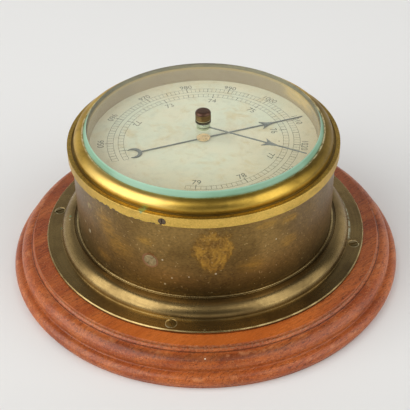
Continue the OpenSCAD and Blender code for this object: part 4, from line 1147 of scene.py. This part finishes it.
@dataclass(frozen=True)
class DialPaint(Finish):
    """The dial's aged, silvered face."""

    name: str = "dial_face"
    pale: Colour = (0.645, 0.580, 0.420)
    cool: Colour = (0.585, 0.585, 0.450)
    stain: Colour = (0.56, 0.455, 0.26)
    fox: Colour = (0.40, 0.27, 0.13)
    pit: Colour = (0.12, 0.06, 0.04)
    pit_at: Place = (-5.1, 47.1, 86.2)
    brushed: float = 45.8

    def paint(self, g: Graph) -> None:
        """Lays the stains, most of them at the front and near the rim, and the fine brushing.

        Args:
            g: The material's nodes.
        """
        g.tone = g.mix(g.ramp(g.noise(34, 4, 0.55, 0.5), 0.35, 0.65), self.cool, self.pale)
        g.tint(self.stain, g.ramp(g.noise(13, 6, 0.66, 0.8), 0.48, 0.72, 0.0, 0.8))
        g.tint(self.stain, g.ramp(g.radius, 54, 76, 0.0, 0.35))
        g.tint(self.stain, g.ramp(g.angle, -150, -110), g.ramp(g.angle, 30, -20), g.ramp(g.radius, 20, 60),
               0.5)
        g.dim(0.8, g.ramp(g.noise(5, 6, 0.72), 0.48, 0.72, 0.0, 0.6))
        g.tint(self.stain, g.ramp(g.noise(1.3, 3, 0.5), 0.58, 0.8, 0.0, 0.2))
        g.tint(self.fox, g.ramp(g.noise(2.7, 1, 0.5), 0.73, 0.80, 0.0, 0.5))
        g.tint(self.pit, g.blot(*self.pit_at, 0.35, 0.3), 0.9)
        g.rough(g.ramp(g.noise(8, 4, 0.6), 0.3, 0.7, 0.48, 0.6))
        g.bump(g.noise(g.cells(30, 0.3, self.brushed), 2), 0.01, 0.3)
        g.plain(Specular_IOR_Level=0.3)


@dataclass(frozen=True)
class Ink(Finish):
    """Printing ink, grey where it is fresh and reddish brown where it has faded."""

    name: str = "faded_ink"
    grey: Colour = (0.065, 0.068, 0.050)
    faded: Colour = (0.34, 0.24, 0.16)
    bare: Colour = (0.42, 0.40, 0.30)

    def paint(self, g: Graph) -> None:
        """Lays the ink and rubs it off in places."""
        g.tone = g.mix(g.ramp(g.noise(9, 4, 0.65, 0.5), 0.50, 0.72, 0.0, 0.75), self.grey, self.faded)
        g.tint(self.bare, g.ramp(g.noise(1.2, 2), 0.4, 0.8, 0.0, 0.35))
        g.plain(Roughness=0.6, Specular_IOR_Level=0.2)


@dataclass(frozen=True)
class PaleFloor(Finish):
    """The studio's pale floor, with painted shade that greys it a little near the camera; it fades out far
    from the object.
    """

    name: str = "pale_floor"
    paper: Colour = (0.82, 0.815, 0.80)
    # The paper's colour in the painted shade near the camera.
    near_paper: Colour = (0.70, 0.695, 0.68)
    greyed: Point = (-290.0, -10.0)
    faded: Point = (700.0, 1400.0)

    def paint(self, g: Graph) -> None:
        """Lays the paper, with painted shade near the camera, and lets it fade."""
        # Painted shade: the paper greyer near the camera.
        g.tone = g.mix(g.ramp(g.split(g.place)[1], *self.greyed), self.near_paper, self.paper)
        g.plain(Roughness=0.9, Specular_IOR_Level=0.1)
        g.fade(g.ramp(g.radius, *self.faded))


# Sub-assemblies


@dataclass
class WoodenBoard:
    """The turned board, with old wax in the hollow between its bead and its torus."""

    radius: float = 127.0
    bead: float = 4.4
    plinth: float = 125.4
    plinth_h: float = 1.2
    torus: Point = (115.8, 11.8)
    torus_r: float = 5.9
    step_r: float = 114.8
    step_z: float = 18.2
    flat_r: float = 113.0
    top: float = 22.0
    hole: float = 5.0
    wax: float = 0.8
    worn: float = 0.35
    bead_start: float = -46.7
    torus_end: float = 99.8

    def section(self) -> Section:
        """Draws the board's outline, from its hole over the back and round the mouldings.

        Returns:
            The outline.
        """
        bead_at = Vector((self.radius - self.bead, self.bead))
        cove = self.step_r - self.flat_r
        across = Vector(self.torus) - bead_at
        near, far = self.bead + self.wax, self.torus_r + self.wax
        along = (near ** 2 - far ** 2 + across.length_squared) / (2 * across.length)
        unit = across.normalized()
        wax_at = bead_at + unit * along + Vector((unit.y, -unit.x)) * math.sqrt(near ** 2 - along ** 2)
        off_bead, off_torus = (wax_at - at for at in (bead_at, Vector(self.torus)))
        leave, meet = (math.degrees(math.atan2(off.y, off.x)) for off in (off_bead, off_torus))
        outline = Section().to((self.hole, 0), (self.plinth, 0), (self.plinth, self.plinth_h))
        outline.arc(bead_at, self.bead, self.bead_start, leave, 20)
        outline.arc(wax_at, self.wax, leave - 180, meet - 180, 6)
        outline.arc(self.torus, self.torus_r, meet, self.torus_end, 22)
        outline.arc((self.step_r, self.step_z + cove), cove, -90, -180, 8)
        return outline.to((self.flat_r, self.top), (self.hole, self.top))

    def build(self) -> None:
        """Builds the board."""
        bm = Maker.turned(self.section().eased(self.worn))
        Maker.finish("turned_board", bm, Wood().build(), Body.CASE, "mahogany", ("base_board",), smooth=50)


@dataclass
class MountingFoot:
    """The brass flange and its foot moulding, with four screws."""

    reach: float = 104.0
    low: float = 22.0
    top: float = 24.0
    chamfer: float = 0.6
    moulding: float = 94.4
    quarter: float = 7.6
    lip: float = 0.6
    ring: float = 83.72
    ring_rise: float = 0.5
    groove: float = 1.7
    groove_depth: float = 0.6
    bore: float = 82.32
    screw_circle: float = 98.6
    screw_angles: tuple[float, ...] = (-102.3, -15.5, 77.7, 171.8)
    head: float = 3.7
    slot_turn: float = 35.0
    worn: float = 0.25

    def section(self) -> Section:
        """Draws the flange's outline.

        Returns:
            The outline.
        """
        at = (self.moulding - self.quarter, self.top + self.lip)
        crown = at[1] + self.quarter
        wall = self.ring + self.groove
        outline = Section().to((self.bore, self.low), (self.reach, self.low),
                               (self.reach, self.top - self.chamfer),
                               (self.reach - self.chamfer, self.top), (self.moulding, self.top))
        outline.arc(at, self.quarter, 0, 90, 18)
        return outline.to((wall, crown), (wall, crown - self.groove_depth),
                          (self.ring, crown - self.groove_depth), (self.ring, crown + self.ring_rise),
                          (self.bore, crown + self.ring_rise))

    def build(self) -> None:
        """Builds the flange, with its countersinks, and the screws' heads."""
        bronze = FlangeBrass("old_brass", (0.38, 0.262, 0.10), (0.160, 0.102, 0.036), film_share=0.55,
                             roughness=0.20, metallic=0.95, turning=0.3).build()
        at = tuple((angle, self.screw_circle, self.top, self.head) for angle in self.screw_angles)
        worn = ScrewBrass("screw_brass", (0.26, 0.19, 0.075), (0.13, 0.09, 0.035), roughness=0.25,
                          metallic=0.95, cloud=6, at=at).build()
        screw = SlottedHead(self.head, depth=1.6, crown=0.25, slot=0.95, slot_depth=0.5, rim=0.45)
        places = (Maker.on_top(angle, self.screw_circle, self.top) for angle in self.screw_angles)
        foot, heads = SlottedHead.sink(self.section().eased(self.worn),
                                       [(screw, place, self.slot_turn) for place in places])
        Maker.finish("flange_and_moulding", foot, bronze, Body.CASE, "old_brass", ("mounting_flange",),
                     smooth=42)
        Maker.finish("flange_screw_heads", heads, worn, Body.CASE, "old_brass", ("flange_screws",), smooth=35)


@dataclass
class CaseDrum:
    """The brown drum and its flush screws, each given by angle, height, head radius and slot turn."""

    radius: float = 82.3
    wall: float = 1.6
    low: float = 22.0
    top: float = 90.5
    rows: int = 24
    worn: float = 0.15
    slot_share: float = 0.26
    screws: tuple[tuple[float, float, float, float], ...] = (
        (-113.2, 55.2, 4.0, -38), (66.8, 55.2, 4.0, -38), (-147, 72.7, 2.2, 25), (33, 72.7, 2.2, 25))

    def build(self) -> None:
        """Builds the drum, its wall in rows, and its screws."""
        brown = DrumPatina("drum_patina", (0.36, 0.225, 0.070), (0.155, 0.092, 0.026), film_share=0.6,
                           roughness=0.28, metallic=0.88, cloud=40, specks=0.25).build()
        dull = Brass("side_screws", (0.46, 0.36, 0.18), (0.22, 0.17, 0.08), film_share=0.6, roughness=0.36,
                     metallic=0.7, cloud=3).build()
        inner = self.radius - self.wall
        rows = ((self.radius, self.low + (self.top - self.low) * k / self.rows) for k in range(self.rows + 1))
        section = Section().to((inner, self.low), *rows, (inner, self.top))
        drum, heads = SlottedHead.sink(section.eased(self.worn), [
            (SlottedHead(head, depth=1.3, slot=head * self.slot_share, slot_depth=0.45, rim=0.12),
             Maker.on_side(angle, self.radius, height), turn) for angle, height, head, turn in self.screws])
        Maker.finish("drum_wall", drum, brown, Body.CASE, "drum_brass", ("case_drum",), smooth=42)
        Maker.finish("side_screw_heads", heads, dull, Body.CASE, "small_brass",
                     ("plate_screws", "carrier_screws"), smooth=35)


@dataclass
class Bezel:
    """The polished bezel and its three screws."""

    band: float = 84.7
    low: float = 85.5
    band_top: float = 92.0
    land: float = 2.7
    groove: float = 1.5
    groove_depth: float = 0.5
    quarter: float = 5.6
    quarter_at: Point = (74.9, 93.5)
    lip: Point = (74.2, 99.1)
    bore: float = 82.4
    seat: float = 75.3
    seat_low: float = 90.6
    seat_high: float = 97.4
    rows: int = 6
    screw_z: float = 88.2
    first_screw: float = -106.6
    screws: int = 3
    slot_turn: float = 5.0
    head: float = 2.3
    worn: float = 0.25

    def section(self) -> Section:
        """Draws the bezel's outline, its band in rows.

        Returns:
            The outline.
        """
        inside = self.band - self.land
        out = inside - self.groove
        deep = self.band_top - self.groove_depth
        step = (self.band_top - self.low) / self.rows
        rows = ((self.band, self.low + step * k) for k in range(self.rows + 1))
        outline = Section().to((self.bore, self.low), *rows, (inside, self.band_top), (inside, deep),
                               (out, deep))
        outline.arc(self.quarter_at, self.quarter, 0, 90, 18)
        return outline.to(self.lip, (self.seat, self.seat_high), (self.seat, self.seat_low),
                          (self.bore, self.seat_low))

    def build(self) -> None:
        """Builds the bezel and its screws."""
        gold = BezelBrass("bezel_brass", (0.68, 0.44, 0.078), (0.42, 0.26, 0.040), roughness=0.32,
                          turning=0.3).build()
        steel = Plain("dark_steel", (0.165, 0.12, 0.08), roughness=0.2, metallic=0.95).build()
        screw = SlottedHead(self.head, depth=1.3, crown=0.25, slot=0.65, slot_depth=0.4, rim=0.3)
        angles = (self.first_screw + 360 / self.screws * k for k in range(self.screws))
        ring, heads = SlottedHead.sink(self.section().eased(self.worn), [
            (screw, Maker.on_side(angle, self.band, self.screw_z), self.slot_turn) for angle in angles])
        Maker.finish("bezel_ring", ring, gold, Body.CASE, "bezel_brass", ("bezel",), smooth=42)
        Maker.finish("bezel_screw_heads", heads, steel, Body.CASE, "steel", ("bezel_screws",), smooth=35)


@dataclass
class Window:
    """The bevelled glass, its ground edge and the sight ring behind it."""

    glass: float = 75.2
    back: float = 96.8
    edge: float = 0.5
    bevel: float = 3.1
    top: float = 102.3
    hole: float = 2.06
    ground: float = 0.05
    eased: float = 0.12
    sight_bore: float = 71.0
    sight_wall: float = 1.4
    sight_low: float = 86.2
    rest: float = 75.1
    rest_low: float = 95.3
    rest_top: float = 96.3
    sight_eased: float = 0.1

    def plate(self) -> None:
        """Builds the glass and, just off its bevel, the ground edge."""
        low, high = (self.glass, self.back + self.edge), (self.glass - self.bevel, self.top)
        section = Section().to((self.hole, self.back), (self.glass, self.back), low, high,
                               (self.hole, self.top))
        Maker.finish("bevelled_glass", Maker.turned(section.eased(self.eased)), PlateGlass().build(),
                     Body.CASE, "glass", ("bezel_glass",), smooth=25)
        out = Vector((high[1] - low[1], low[0] - high[0])).normalized()
        near, far = out * self.ground * 0.2, out * self.ground
        corners = ((low, near), (low, far), (high, far), (high, near))
        skin = Section().to(*((p[0] + o.x, p[1] + o.y) for p, o in corners))
        Maker.finish("ground_bevel", Maker.turned(skin), GroundBevel().build(), Body.CASE, "glass", smooth=25)

    def sight(self) -> None:
        """Builds the inner wall, with the rest at its top that the glass is sealed to."""
        tan = SightBrass("sight_brass", (0.37, 0.29, 0.165), (0.27, 0.205, 0.11), roughness=0.36,
                         metallic=0.35, cloud=30).build()
        outside = self.sight_bore + self.sight_wall
        ring = Section().to((self.sight_bore, self.sight_low), (outside, self.sight_low),
                            (outside, self.rest_low), (self.rest, self.rest_low), (self.rest, self.rest_top),
                            (self.sight_bore, self.rest_top))
        Maker.finish("sight_wall", Maker.turned(ring.eased(self.sight_eased)), tan, Body.CASE, "sight_brass",
                     ("sight_ring",), smooth=42)

    def build(self) -> None:
        """Builds the glass, then the wall."""
        self.plate()
        self.sight()


@dataclass
class Dial:
    """The dial plate with its two printed scales."""

    radius: float = 79.5
    low: float = 85.0
    face: float = 86.2
    hole: float = 3.0
    ink_h: float = 0.03
    eased: float = 0.08
    upright: float = 45.8
    outer: Point = (56.2, 60.1)
    inner: Point = (49.8, 53.2)
    outer_numbers: Point = (63.3, 4.2)
    inner_numbers: Point = (45.3, 4.4)
    line: float = 0.25
    line_steps: int = 220
    body_share: float = 1.38
    narrow: float = 0.96
    lift: float = 1.0
    faces: int = 192
    middle: float = 75.0
    spread: float = 36.3
    closing: float = 0.13
    closing_high: float = 0.025
    per_millibar: float = 0.0750062

    def centimetres(self, value: float) -> float:
        """Finds a pressure's place on the scale, which closes up a little upward.

        Args:
            value: The pressure in centimetres of mercury.

        Returns:
            Its angle in degrees.
        """
        d = value - self.middle
        return self.upright - self.spread * d + self.closing * d * d + self.closing_high * max(0.0, d) ** 3

    def millibars(self, value: float) -> float:
        """The angle in degrees of a pressure in millibars."""
        return self.centimetres(value * self.per_millibar)

    def spot(self, radius: float, degrees: float) -> Point:
        """A point on the dial."""
        a = math.radians(degrees)
        return radius * math.cos(a), radius * math.sin(a)

    def stroke(self, bm: bmesh.types.BMesh, a: Point, b: Point, width: float) -> None:
        """Adds a straight stroke of ink.

        Args:
            bm: Where the ink goes.
            a: Its start.
            b: Its end.
            width: Its width.
        """
        along = Vector(b) - Vector(a)
        middle = (Vector(a) + Vector(b)) / 2
        turn = Matrix.Rotation(math.atan2(along.y, along.x), 4, "Z")
        size = Matrix.Diagonal((along.length, width, 1, 1))
        place = Matrix.Translation((middle.x, middle.y, self.face + self.ink_h)) @ turn @ size
        bmesh.ops.create_grid(bm, x_segments=1, y_segments=1, size=0.5, matrix=place)

    def circle(self, bm: bmesh.types.BMesh, radius: float, start: float, end: float, width: float) -> None:
        """Adds a thin ring of ink.

        Args:
            bm: Where the ink goes.
            radius: The ring's radius.
            start: Its first angle in degrees.
            end: Its last angle.
            width: Its width.
        """
        ends = [bm.verts.new((*self.spot(r, start), self.face + self.ink_h))
                for r in (radius - width / 2, radius + width / 2)]
        bmesh.ops.spin(bm, geom=[*ends, bm.edges.new(ends)], cent=(0, 0, 0), axis=(0, 0, 1),
                       angle=math.radians(end - start), steps=self.line_steps, use_merge=False,
                       use_duplicate=False)

    def numeral(self, bm: bmesh.types.BMesh, text: str, radius: float, degrees: float, height: float) -> None:
        """Adds a number, its top outward above the dial's middle and inward below it.

        Args:
            bm: Where the ink goes.
            text: The number.
            radius: The radius of its place.
            degrees: The angle of its place.
            height: The height of its figures.
        """
        curve = bpy.data.curves.new("numeral", "FONT")
        curve.body, curve.size = text, height * self.body_share
        curve.align_x, curve.align_y = "CENTER", "CENTER"
        holder = bpy.data.objects.new("numeral", curve)
        bpy.context.scene.collection.objects.link(holder)
        bpy.context.view_layer.update()
        mesh = bpy.data.meshes.new_from_object(holder.evaluated_get(bpy.context.evaluated_depsgraph_get()))
        flip = 180 if abs((degrees - self.upright + 180) % 360 - 180) > 90 else 0
        x, y = self.spot(radius + (self.lift if flip else -self.lift * 0.5), degrees)
        mesh.transform(Matrix.Translation((x, y, self.face + self.ink_h))
                       @ Matrix.Rotation(math.radians(degrees - 90 + flip), 4, "Z")
                       @ Matrix.Scale(self.narrow, 4, (1, 0, 0)))
        bm.from_mesh(mesh)
        bpy.data.objects.remove(holder)
        bpy.data.curves.remove(curve)
        bpy.data.meshes.remove(mesh)

    def ladder(self, bm: bmesh.types.BMesh, radii: Point, outward: bool,
               marks: list[tuple[float, Rank]]) -> None:
        """Adds one scale.

        Args:
            bm: Where the ink goes.
            radii: The scale's inner and outer circle.
            outward: True if its longest marks reach outward, False if inward.
            marks: The angle and the rank of each mark.
        """
        low, high = radii
        for r in radii:
            self.circle(bm, r, marks[0][0], marks[-1][0], self.line)
        for degrees, rank in marks:
            width, more = rank.value
            self.stroke(bm, self.spot(low - (0 if outward else more), degrees),
                        self.spot(high + (more if outward else 0), degrees), width)

    def build(self) -> None:
        """Builds the plate and prints the scales."""
        section = Section().to((self.hole, self.low), (self.radius, self.low), (self.radius, self.face),
                               (self.hole, self.face))
        Maker.finish("dial_plate", Maker.turned(section.eased(self.eased), self.faces),
                     DialPaint(brushed=self.upright).build(), Body.CASE, "dial_face", ("dial",), smooth=42)
        ink = bmesh.new()
        self.ladder(ink, self.outer, True, [(self.millibars(v), Rank.of(v)) for v in MILLIBARS])
        self.ladder(ink, self.inner, False, [(self.centimetres(v / 10), Rank.of(v)) for v in MILLIMETRES])
        for numbers, angle_of, (radius, height) in (
                (range(950, 1051, 10), self.millibars, self.outer_numbers),
                (range(72, 80), self.centimetres, self.inner_numbers)):
            for v in numbers:
                self.numeral(ink, str(v), radius, angle_of(v), height)
        Maker.finish("printed_scales", ink, Ink().build(), Body.CASE, "dial_face")


@dataclass
class Hands:
    """The main hand with its hub, and the set hand."""

    thick: float = 0.5
    edge: float = 0.1
    stem: float = 0.45
    needle: float = 0.3
    arrow: Point = (9.0, 4.0)
    notch: float = 2.2
    bend: Point = (0.45, 0.42)
    main_angle: float = 19.7
    main_barb: float = 38.8
    main_reach: float = 67.5
    main_eye: float = 3.1
    set_angle: float = -27.9
    set_barb: float = 41.0
    set_reach: float = 69.0
    set_eye: float = 3.6
    crescent_at: float = 45.3
    crescent_r: float = 5.0
    crescent_in: float = 4.2
    crescent_shift: float = 1.7
    tail: float = 0.38
    tail_overlap: float = 0.8
    disc_steps: int = 48
    hub: float = 4.3

    def disc(self, radius: float, low: float, high: float, x: float = 0.0,
             edge: float = 0.0) -> bmesh.types.BMesh:
        """Makes a round plate on the hand's line.

        Args:
            radius: Its radius.
            low: The height of its underside.
            high: The height of its top.
            x: The place of its centre along the hand.
            edge: The width of the bevel on its top edge.

        Returns:
            Its shape.
        """
        turns = (math.tau * i / self.disc_steps for i in range(self.disc_steps))
        return Maker.plate([(x + radius * math.cos(a), radius * math.sin(a)) for a in turns], low, high, edge)

    def hand(self, low: float, barb: float, reach: float, eye: float) -> bmesh.types.BMesh:
        """Makes an arrow and its needle along +X, with the eye that it is fixed by.

        Args:
            low: The height of its underside.
            barb: The radius of the arrow's barbs.
            reach: The radius of the needle's tip.
            eye: The eye's radius.

        Returns:
            Its shape.
        """
        length, half = self.arrow
        upper = [(0.0, self.stem), (barb + self.notch, self.stem), (barb, half),
                 (barb + length * self.bend[0], half * self.bend[1]), (barb + length, self.stem),
                 (reach, self.needle)]
        outline = [(x, -y) for x, y in upper] + upper[::-1]
        high = low + self.thick
        arrow = Maker.plate(outline, low, high, self.edge)
        return Maker.combine(arrow, self.disc(eye, low, high, 0, self.edge), "UNION")

    def moon(self, low: float) -> bmesh.types.BMesh:
        """Makes the crescent on the main hand's tail, horns outward, with the tail's bar.

        Args:
            low: The height of its underside.

        Returns:
            Its shape.
        """
        high = low + self.thick
        full = self.disc(self.crescent_r, low, high, -self.crescent_at, self.edge)
        gone = self.disc(self.crescent_in, low - 1, high + 1, -self.crescent_at - self.crescent_shift)
        inner = -self.crescent_at + self.crescent_r - self.tail_overlap
        corners = [(inner, -self.tail), (0, -self.tail), (0, self.tail), (inner, self.tail)]
        bar = Maker.plate(corners, low, high, self.edge)
        return Maker.combine(Maker.combine(full, gone, "DIFFERENCE"), bar, "UNION")

    def build(self) -> None:
        """Builds both hands and the hub."""
        steel = Plain("blued_steel", (0.165, 0.175, 0.155), roughness=0.42, metallic=0.3, mottle=0.3).build()
        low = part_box("pointer")[0].z / MM
        arrow = self.hand(low, self.main_barb, self.main_reach, self.main_eye)
        bm = Maker.combine(arrow, self.moon(low), "UNION")
        bm.transform(Matrix.Rotation(math.radians(self.main_angle), 4, "Z"))
        Maker.finish("pressure_hand", bm, steel, Body.POINTER, "blued_steel", ("pointer",), smooth=30)
        low, high = (c.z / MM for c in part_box("pointer_hub"))
        gold = Plain("hub_gold", (0.78, 0.57, 0.32), roughness=0.28, metallic=0.5, mottle=0.10,
                     relief=0.002).build()
        rise = high - low
        section = Section().to((0, low), (self.hub, low), (self.hub, low + rise * 0.35),
                               (self.hub - 0.25, low + rise * 0.6), (self.hub - 0.9, high - rise * 0.15),
                               (self.hub * 0.4, high), (0, high))
        Maker.finish("hub_disc", Maker.turned(section, SMALL_ROUND, closed=False), gold, Body.POINTER,
                     "bezel_brass", ("pointer_hub",), smooth=35)
        bm = self.hand(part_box("set_hand")[0].z / MM, self.set_barb, self.set_reach, self.set_eye)
        bm.transform(Matrix.Rotation(math.radians(self.set_angle), 4, "Z"))
        Maker.finish("reference_hand", bm, steel, Body.SET_HAND, "blued_steel", ("set_hand",), smooth=30)


@dataclass
class SetKnob:
    """The knurled knob on the glass."""

    foot: Point = (4.38, 0.6)
    side: float = 4.72
    knurl_h: float = 4.2
    knurl_depth: float = 0.14
    columns: int = 72
    rows: int = 10
    widest: float = 4.85
    dome_at: float = 3.15
    dome: float = 1.7
    dome_start: float = 8.0

    def build(self) -> None:
        """Builds the knob, its side pressed into a diamond knurl."""
        low, high = (c.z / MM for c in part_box("set_knob"))
        start = low + self.foot[1]
        step = self.knurl_h / self.rows
        section = Section().to((0, low), (self.foot[0], low), (self.foot[0], start))
        section.to(*((self.side, start + step * j) for j in range(self.rows + 1)))
        section.arc((self.dome_at, high - self.dome), self.dome, self.dome_start, 90, 8).to((0, high))
        bm = Maker.turned(section, self.columns, closed=False)
        for v in bm.verts:
            row = (v.co.z - start) / step
            if 0.5 < row < self.rows - 0.5 and v.co.xy.length > self.side - 1e-3:
                column = round(math.atan2(v.co.y, v.co.x) / math.tau * self.columns)
                push = self.knurl_depth if (round(row) + column) % 2 else -self.knurl_depth
                v.co.xy = v.co.xy.normalized() * min(self.side + push, self.widest)
        brown = KnobBrass("knob_brass", (0.27, 0.165, 0.055), (0.10, 0.065, 0.025), metallic=0.75,
                          cloud=4).build()
        Maker.finish("knurled_knob", bm, brown, Body.SET_HAND, "knob_brass", ("set_knob",), smooth=35)


@dataclass
class Inside:
    """The CAD nodes that stay as they are, mostly behind the dial."""

    aged: Brass = Brass("inner_old_brass", (0.33, 0.25, 0.11), (0.16, 0.12, 0.05), roughness=0.4,
                        metallic=0.9)
    turned: Brass = Brass("inner_brass", (0.62, 0.45, 0.18), (0.40, 0.28, 0.10), film_share=0.4,
                          roughness=0.32, cloud=12)
    steel: Plain = Plain("bright_steel", (0.42, 0.43, 0.45), roughness=0.32, metallic=1.0)
    blued: Plain = Plain("spring_steel", (0.10, 0.13, 0.20), roughness=0.3, metallic=1.0)
    seal: Plain = Plain("dark_seal", (0.045, 0.038, 0.020), roughness=0.5)
    olive: Plain = Plain("olive_seal", (0.20, 0.17, 0.085), roughness=0.6)
    sheet: Brass = Brass("capsule_sheet", (0.62, 0.56, 0.38), (0.45, 0.38, 0.22), film_share=0.4,
                         roughness=0.35)
    nickel: Plain = Plain("pale_washer", (0.50, 0.54, 0.37), metallic=0.2, mottle=0.15)

    def build(self) -> None:
        """Gives each remaining node its own finish, or else its slot's."""
        by_slot = {"old_brass": self.aged, "drum_brass": self.aged, "small_brass": self.turned,
                   "steel": self.steel, "blued_steel": self.blued, "sealing": self.seal,
                   "capsule_metal": self.sheet}
        by_node = {"glass_gasket": self.olive, "spring_washer": self.nickel, "set_hand_nut": self.nickel}
        slots = {s["node"]: s["material_slot"] for s in frame["record"]["subparts"]}
        made: dict[Finish, bpy.types.Material] = {}
        for name, obj in NODES.items():
            if obj.hide_render:
                continue
            finish = by_node.get(name) or by_slot[slots[name]]
            if finish not in made:
                made[finish] = finish.build()
            obj.data.materials.clear()
            obj.data.materials.append(made[finish])
            LOG.info("%s: CAD node in %s", name, finish.name)


@dataclass
class Studio:
    """The floor, the lamps, the world and the camera."""

    lens: float = 87.75
    sensor: float = 36.0
    clip: Point = (0.01, 50.0)
    shift: Point = (0.00108, -0.0232)
    distance: float = 650.0
    elevation: float = 36.92
    aim_z: float = 45.0
    roll: float = -1.067
    floor_size: float = 6000.0
    floor_drop: float = 0.05
    backdrop: Colour = (1.0, 0.995, 0.985)
    horizon: float = 0.78
    overhead: float = 0.17
    back_rise: float = 0.38
    lamps: tuple[tuple[str, float, float], ...] = (("left_lamp", -155, 120.0), ("right_lamp", -25, 74.0))
    lamp_height: float = 33.0
    lamp_distance: float = 3000.0
    lamp_size: Point = (3480, 4100)
    lamp_aim: float = 50.0

    def build(self) -> None:
        """Builds everything round the object."""
        self.floor()
        self.world()
        for name, degrees, watts in self.lamps:
            self.lamp(name, degrees, watts)
        self.camera()

    def floor(self) -> None:
        """Lays the pale floor, a hair below the board."""
        bm = bmesh.new()
        bmesh.ops.create_grid(bm, x_segments=1, y_segments=1, size=self.floor_size * MM)
        bmesh.ops.translate(bm, vec=(0, 0, -self.floor_drop * MM), verts=bm.verts)
        mesh = bpy.data.meshes.new("floor")
        bm.to_mesh(mesh)
        bm.free()
        mesh.materials.append(PaleFloor().build())
        obj = bpy.data.objects.new("floor", mesh)
        bpy.context.scene.collection.objects.link(obj)

    def world(self) -> None:
        """Makes a backdrop that is pale up to the horizon and dim overhead and in front."""
        world = bpy.data.worlds.new("studio")
        bpy.context.scene.world = world
        world.use_nodes = True
        n = Nodes(world.node_tree)
        out, back = n.add("ShaderNodeOutputWorld"), n.add("ShaderNodeBackground")
        _, away, up = n.split(n.add("ShaderNodeTexCoord").outputs["Generated"])
        raised = n.ramp(away, 0.1, 0.7, 0.0, self.back_rise)
        wall = n.ramp(n.maths("SUBTRACT", up, raised), 0.08, 0.32, self.horizon, self.overhead)
        front = n.both(n.ramp(away, -0.95, -0.5, 0.7, 0.0), n.ramp(up, 0.02, 0.18))
        n.feed(back.inputs["Color"], self.backdrop)
        n.wire(n.maths("SUBTRACT", wall, n.both(wall, front)), back.inputs["Strength"])
        n.wire(back.outputs["Background"], out.inputs["Surface"])

    def lamp(self, name: str, degrees: float, watts: float) -> None:
        """Adds a soft lamp that faces the object.

        Args:
            name: The lamp's name.
            degrees: Its direction round the axis.
            watts: Its power.
        """
        light = bpy.data.lights.new(name, "AREA")
        light.shape, light.energy = "RECTANGLE", watts
        light.size, light.size_y = (c * MM for c in self.lamp_size)
        obj = bpy.data.objects.new(name, light)
        a, e = math.radians(degrees), math.radians(self.lamp_height)
        out = Vector((math.cos(e) * math.cos(a), math.cos(e) * math.sin(a), math.sin(e)))
        obj.location = (out * self.lamp_distance + Vector((0, 0, self.lamp_aim))) * MM
        obj.rotation_euler = (-out).to_track_quat("-Z", "Y").to_euler()
        obj.visible_camera = False
        bpy.context.scene.collection.objects.link(obj)

    def camera(self) -> None:
        """Sets the camera as it stood for the photograph."""
        data = bpy.data.cameras.new("camera")
        data.lens, data.sensor_width = self.lens, self.sensor
        data.shift_x, data.shift_y = self.shift
        data.clip_start, data.clip_end = self.clip
        obj = bpy.data.objects.new("camera", data)
        e = math.radians(self.elevation)
        back = Vector((0, -math.cos(e), math.sin(e)))
        spot = back * self.distance * MM + Vector((0, 0, self.aim_z * MM))
        turn = (-back).to_track_quat("-Z", "Y").to_matrix().to_4x4()
        obj.matrix_world = Matrix.Translation(spot) @ turn @ Matrix.Rotation(math.radians(self.roll), 4, "Z")
        bpy.context.scene.collection.objects.link(obj)
        bpy.context.scene.camera = obj


def main() -> None:
    """Builds the barometer and its studio."""
    bpy.context.scene.view_settings.view_transform = "Standard"
    for part in (Studio(), WoodenBoard(), MountingFoot(), CaseDrum(), Bezel(), Window(), Dial(), Hands(),
                 SetKnob(), Inside()):
        part.build()
        LOG.info("built %s", type(part).__name__)


if __name__ == "__main__":
    main()
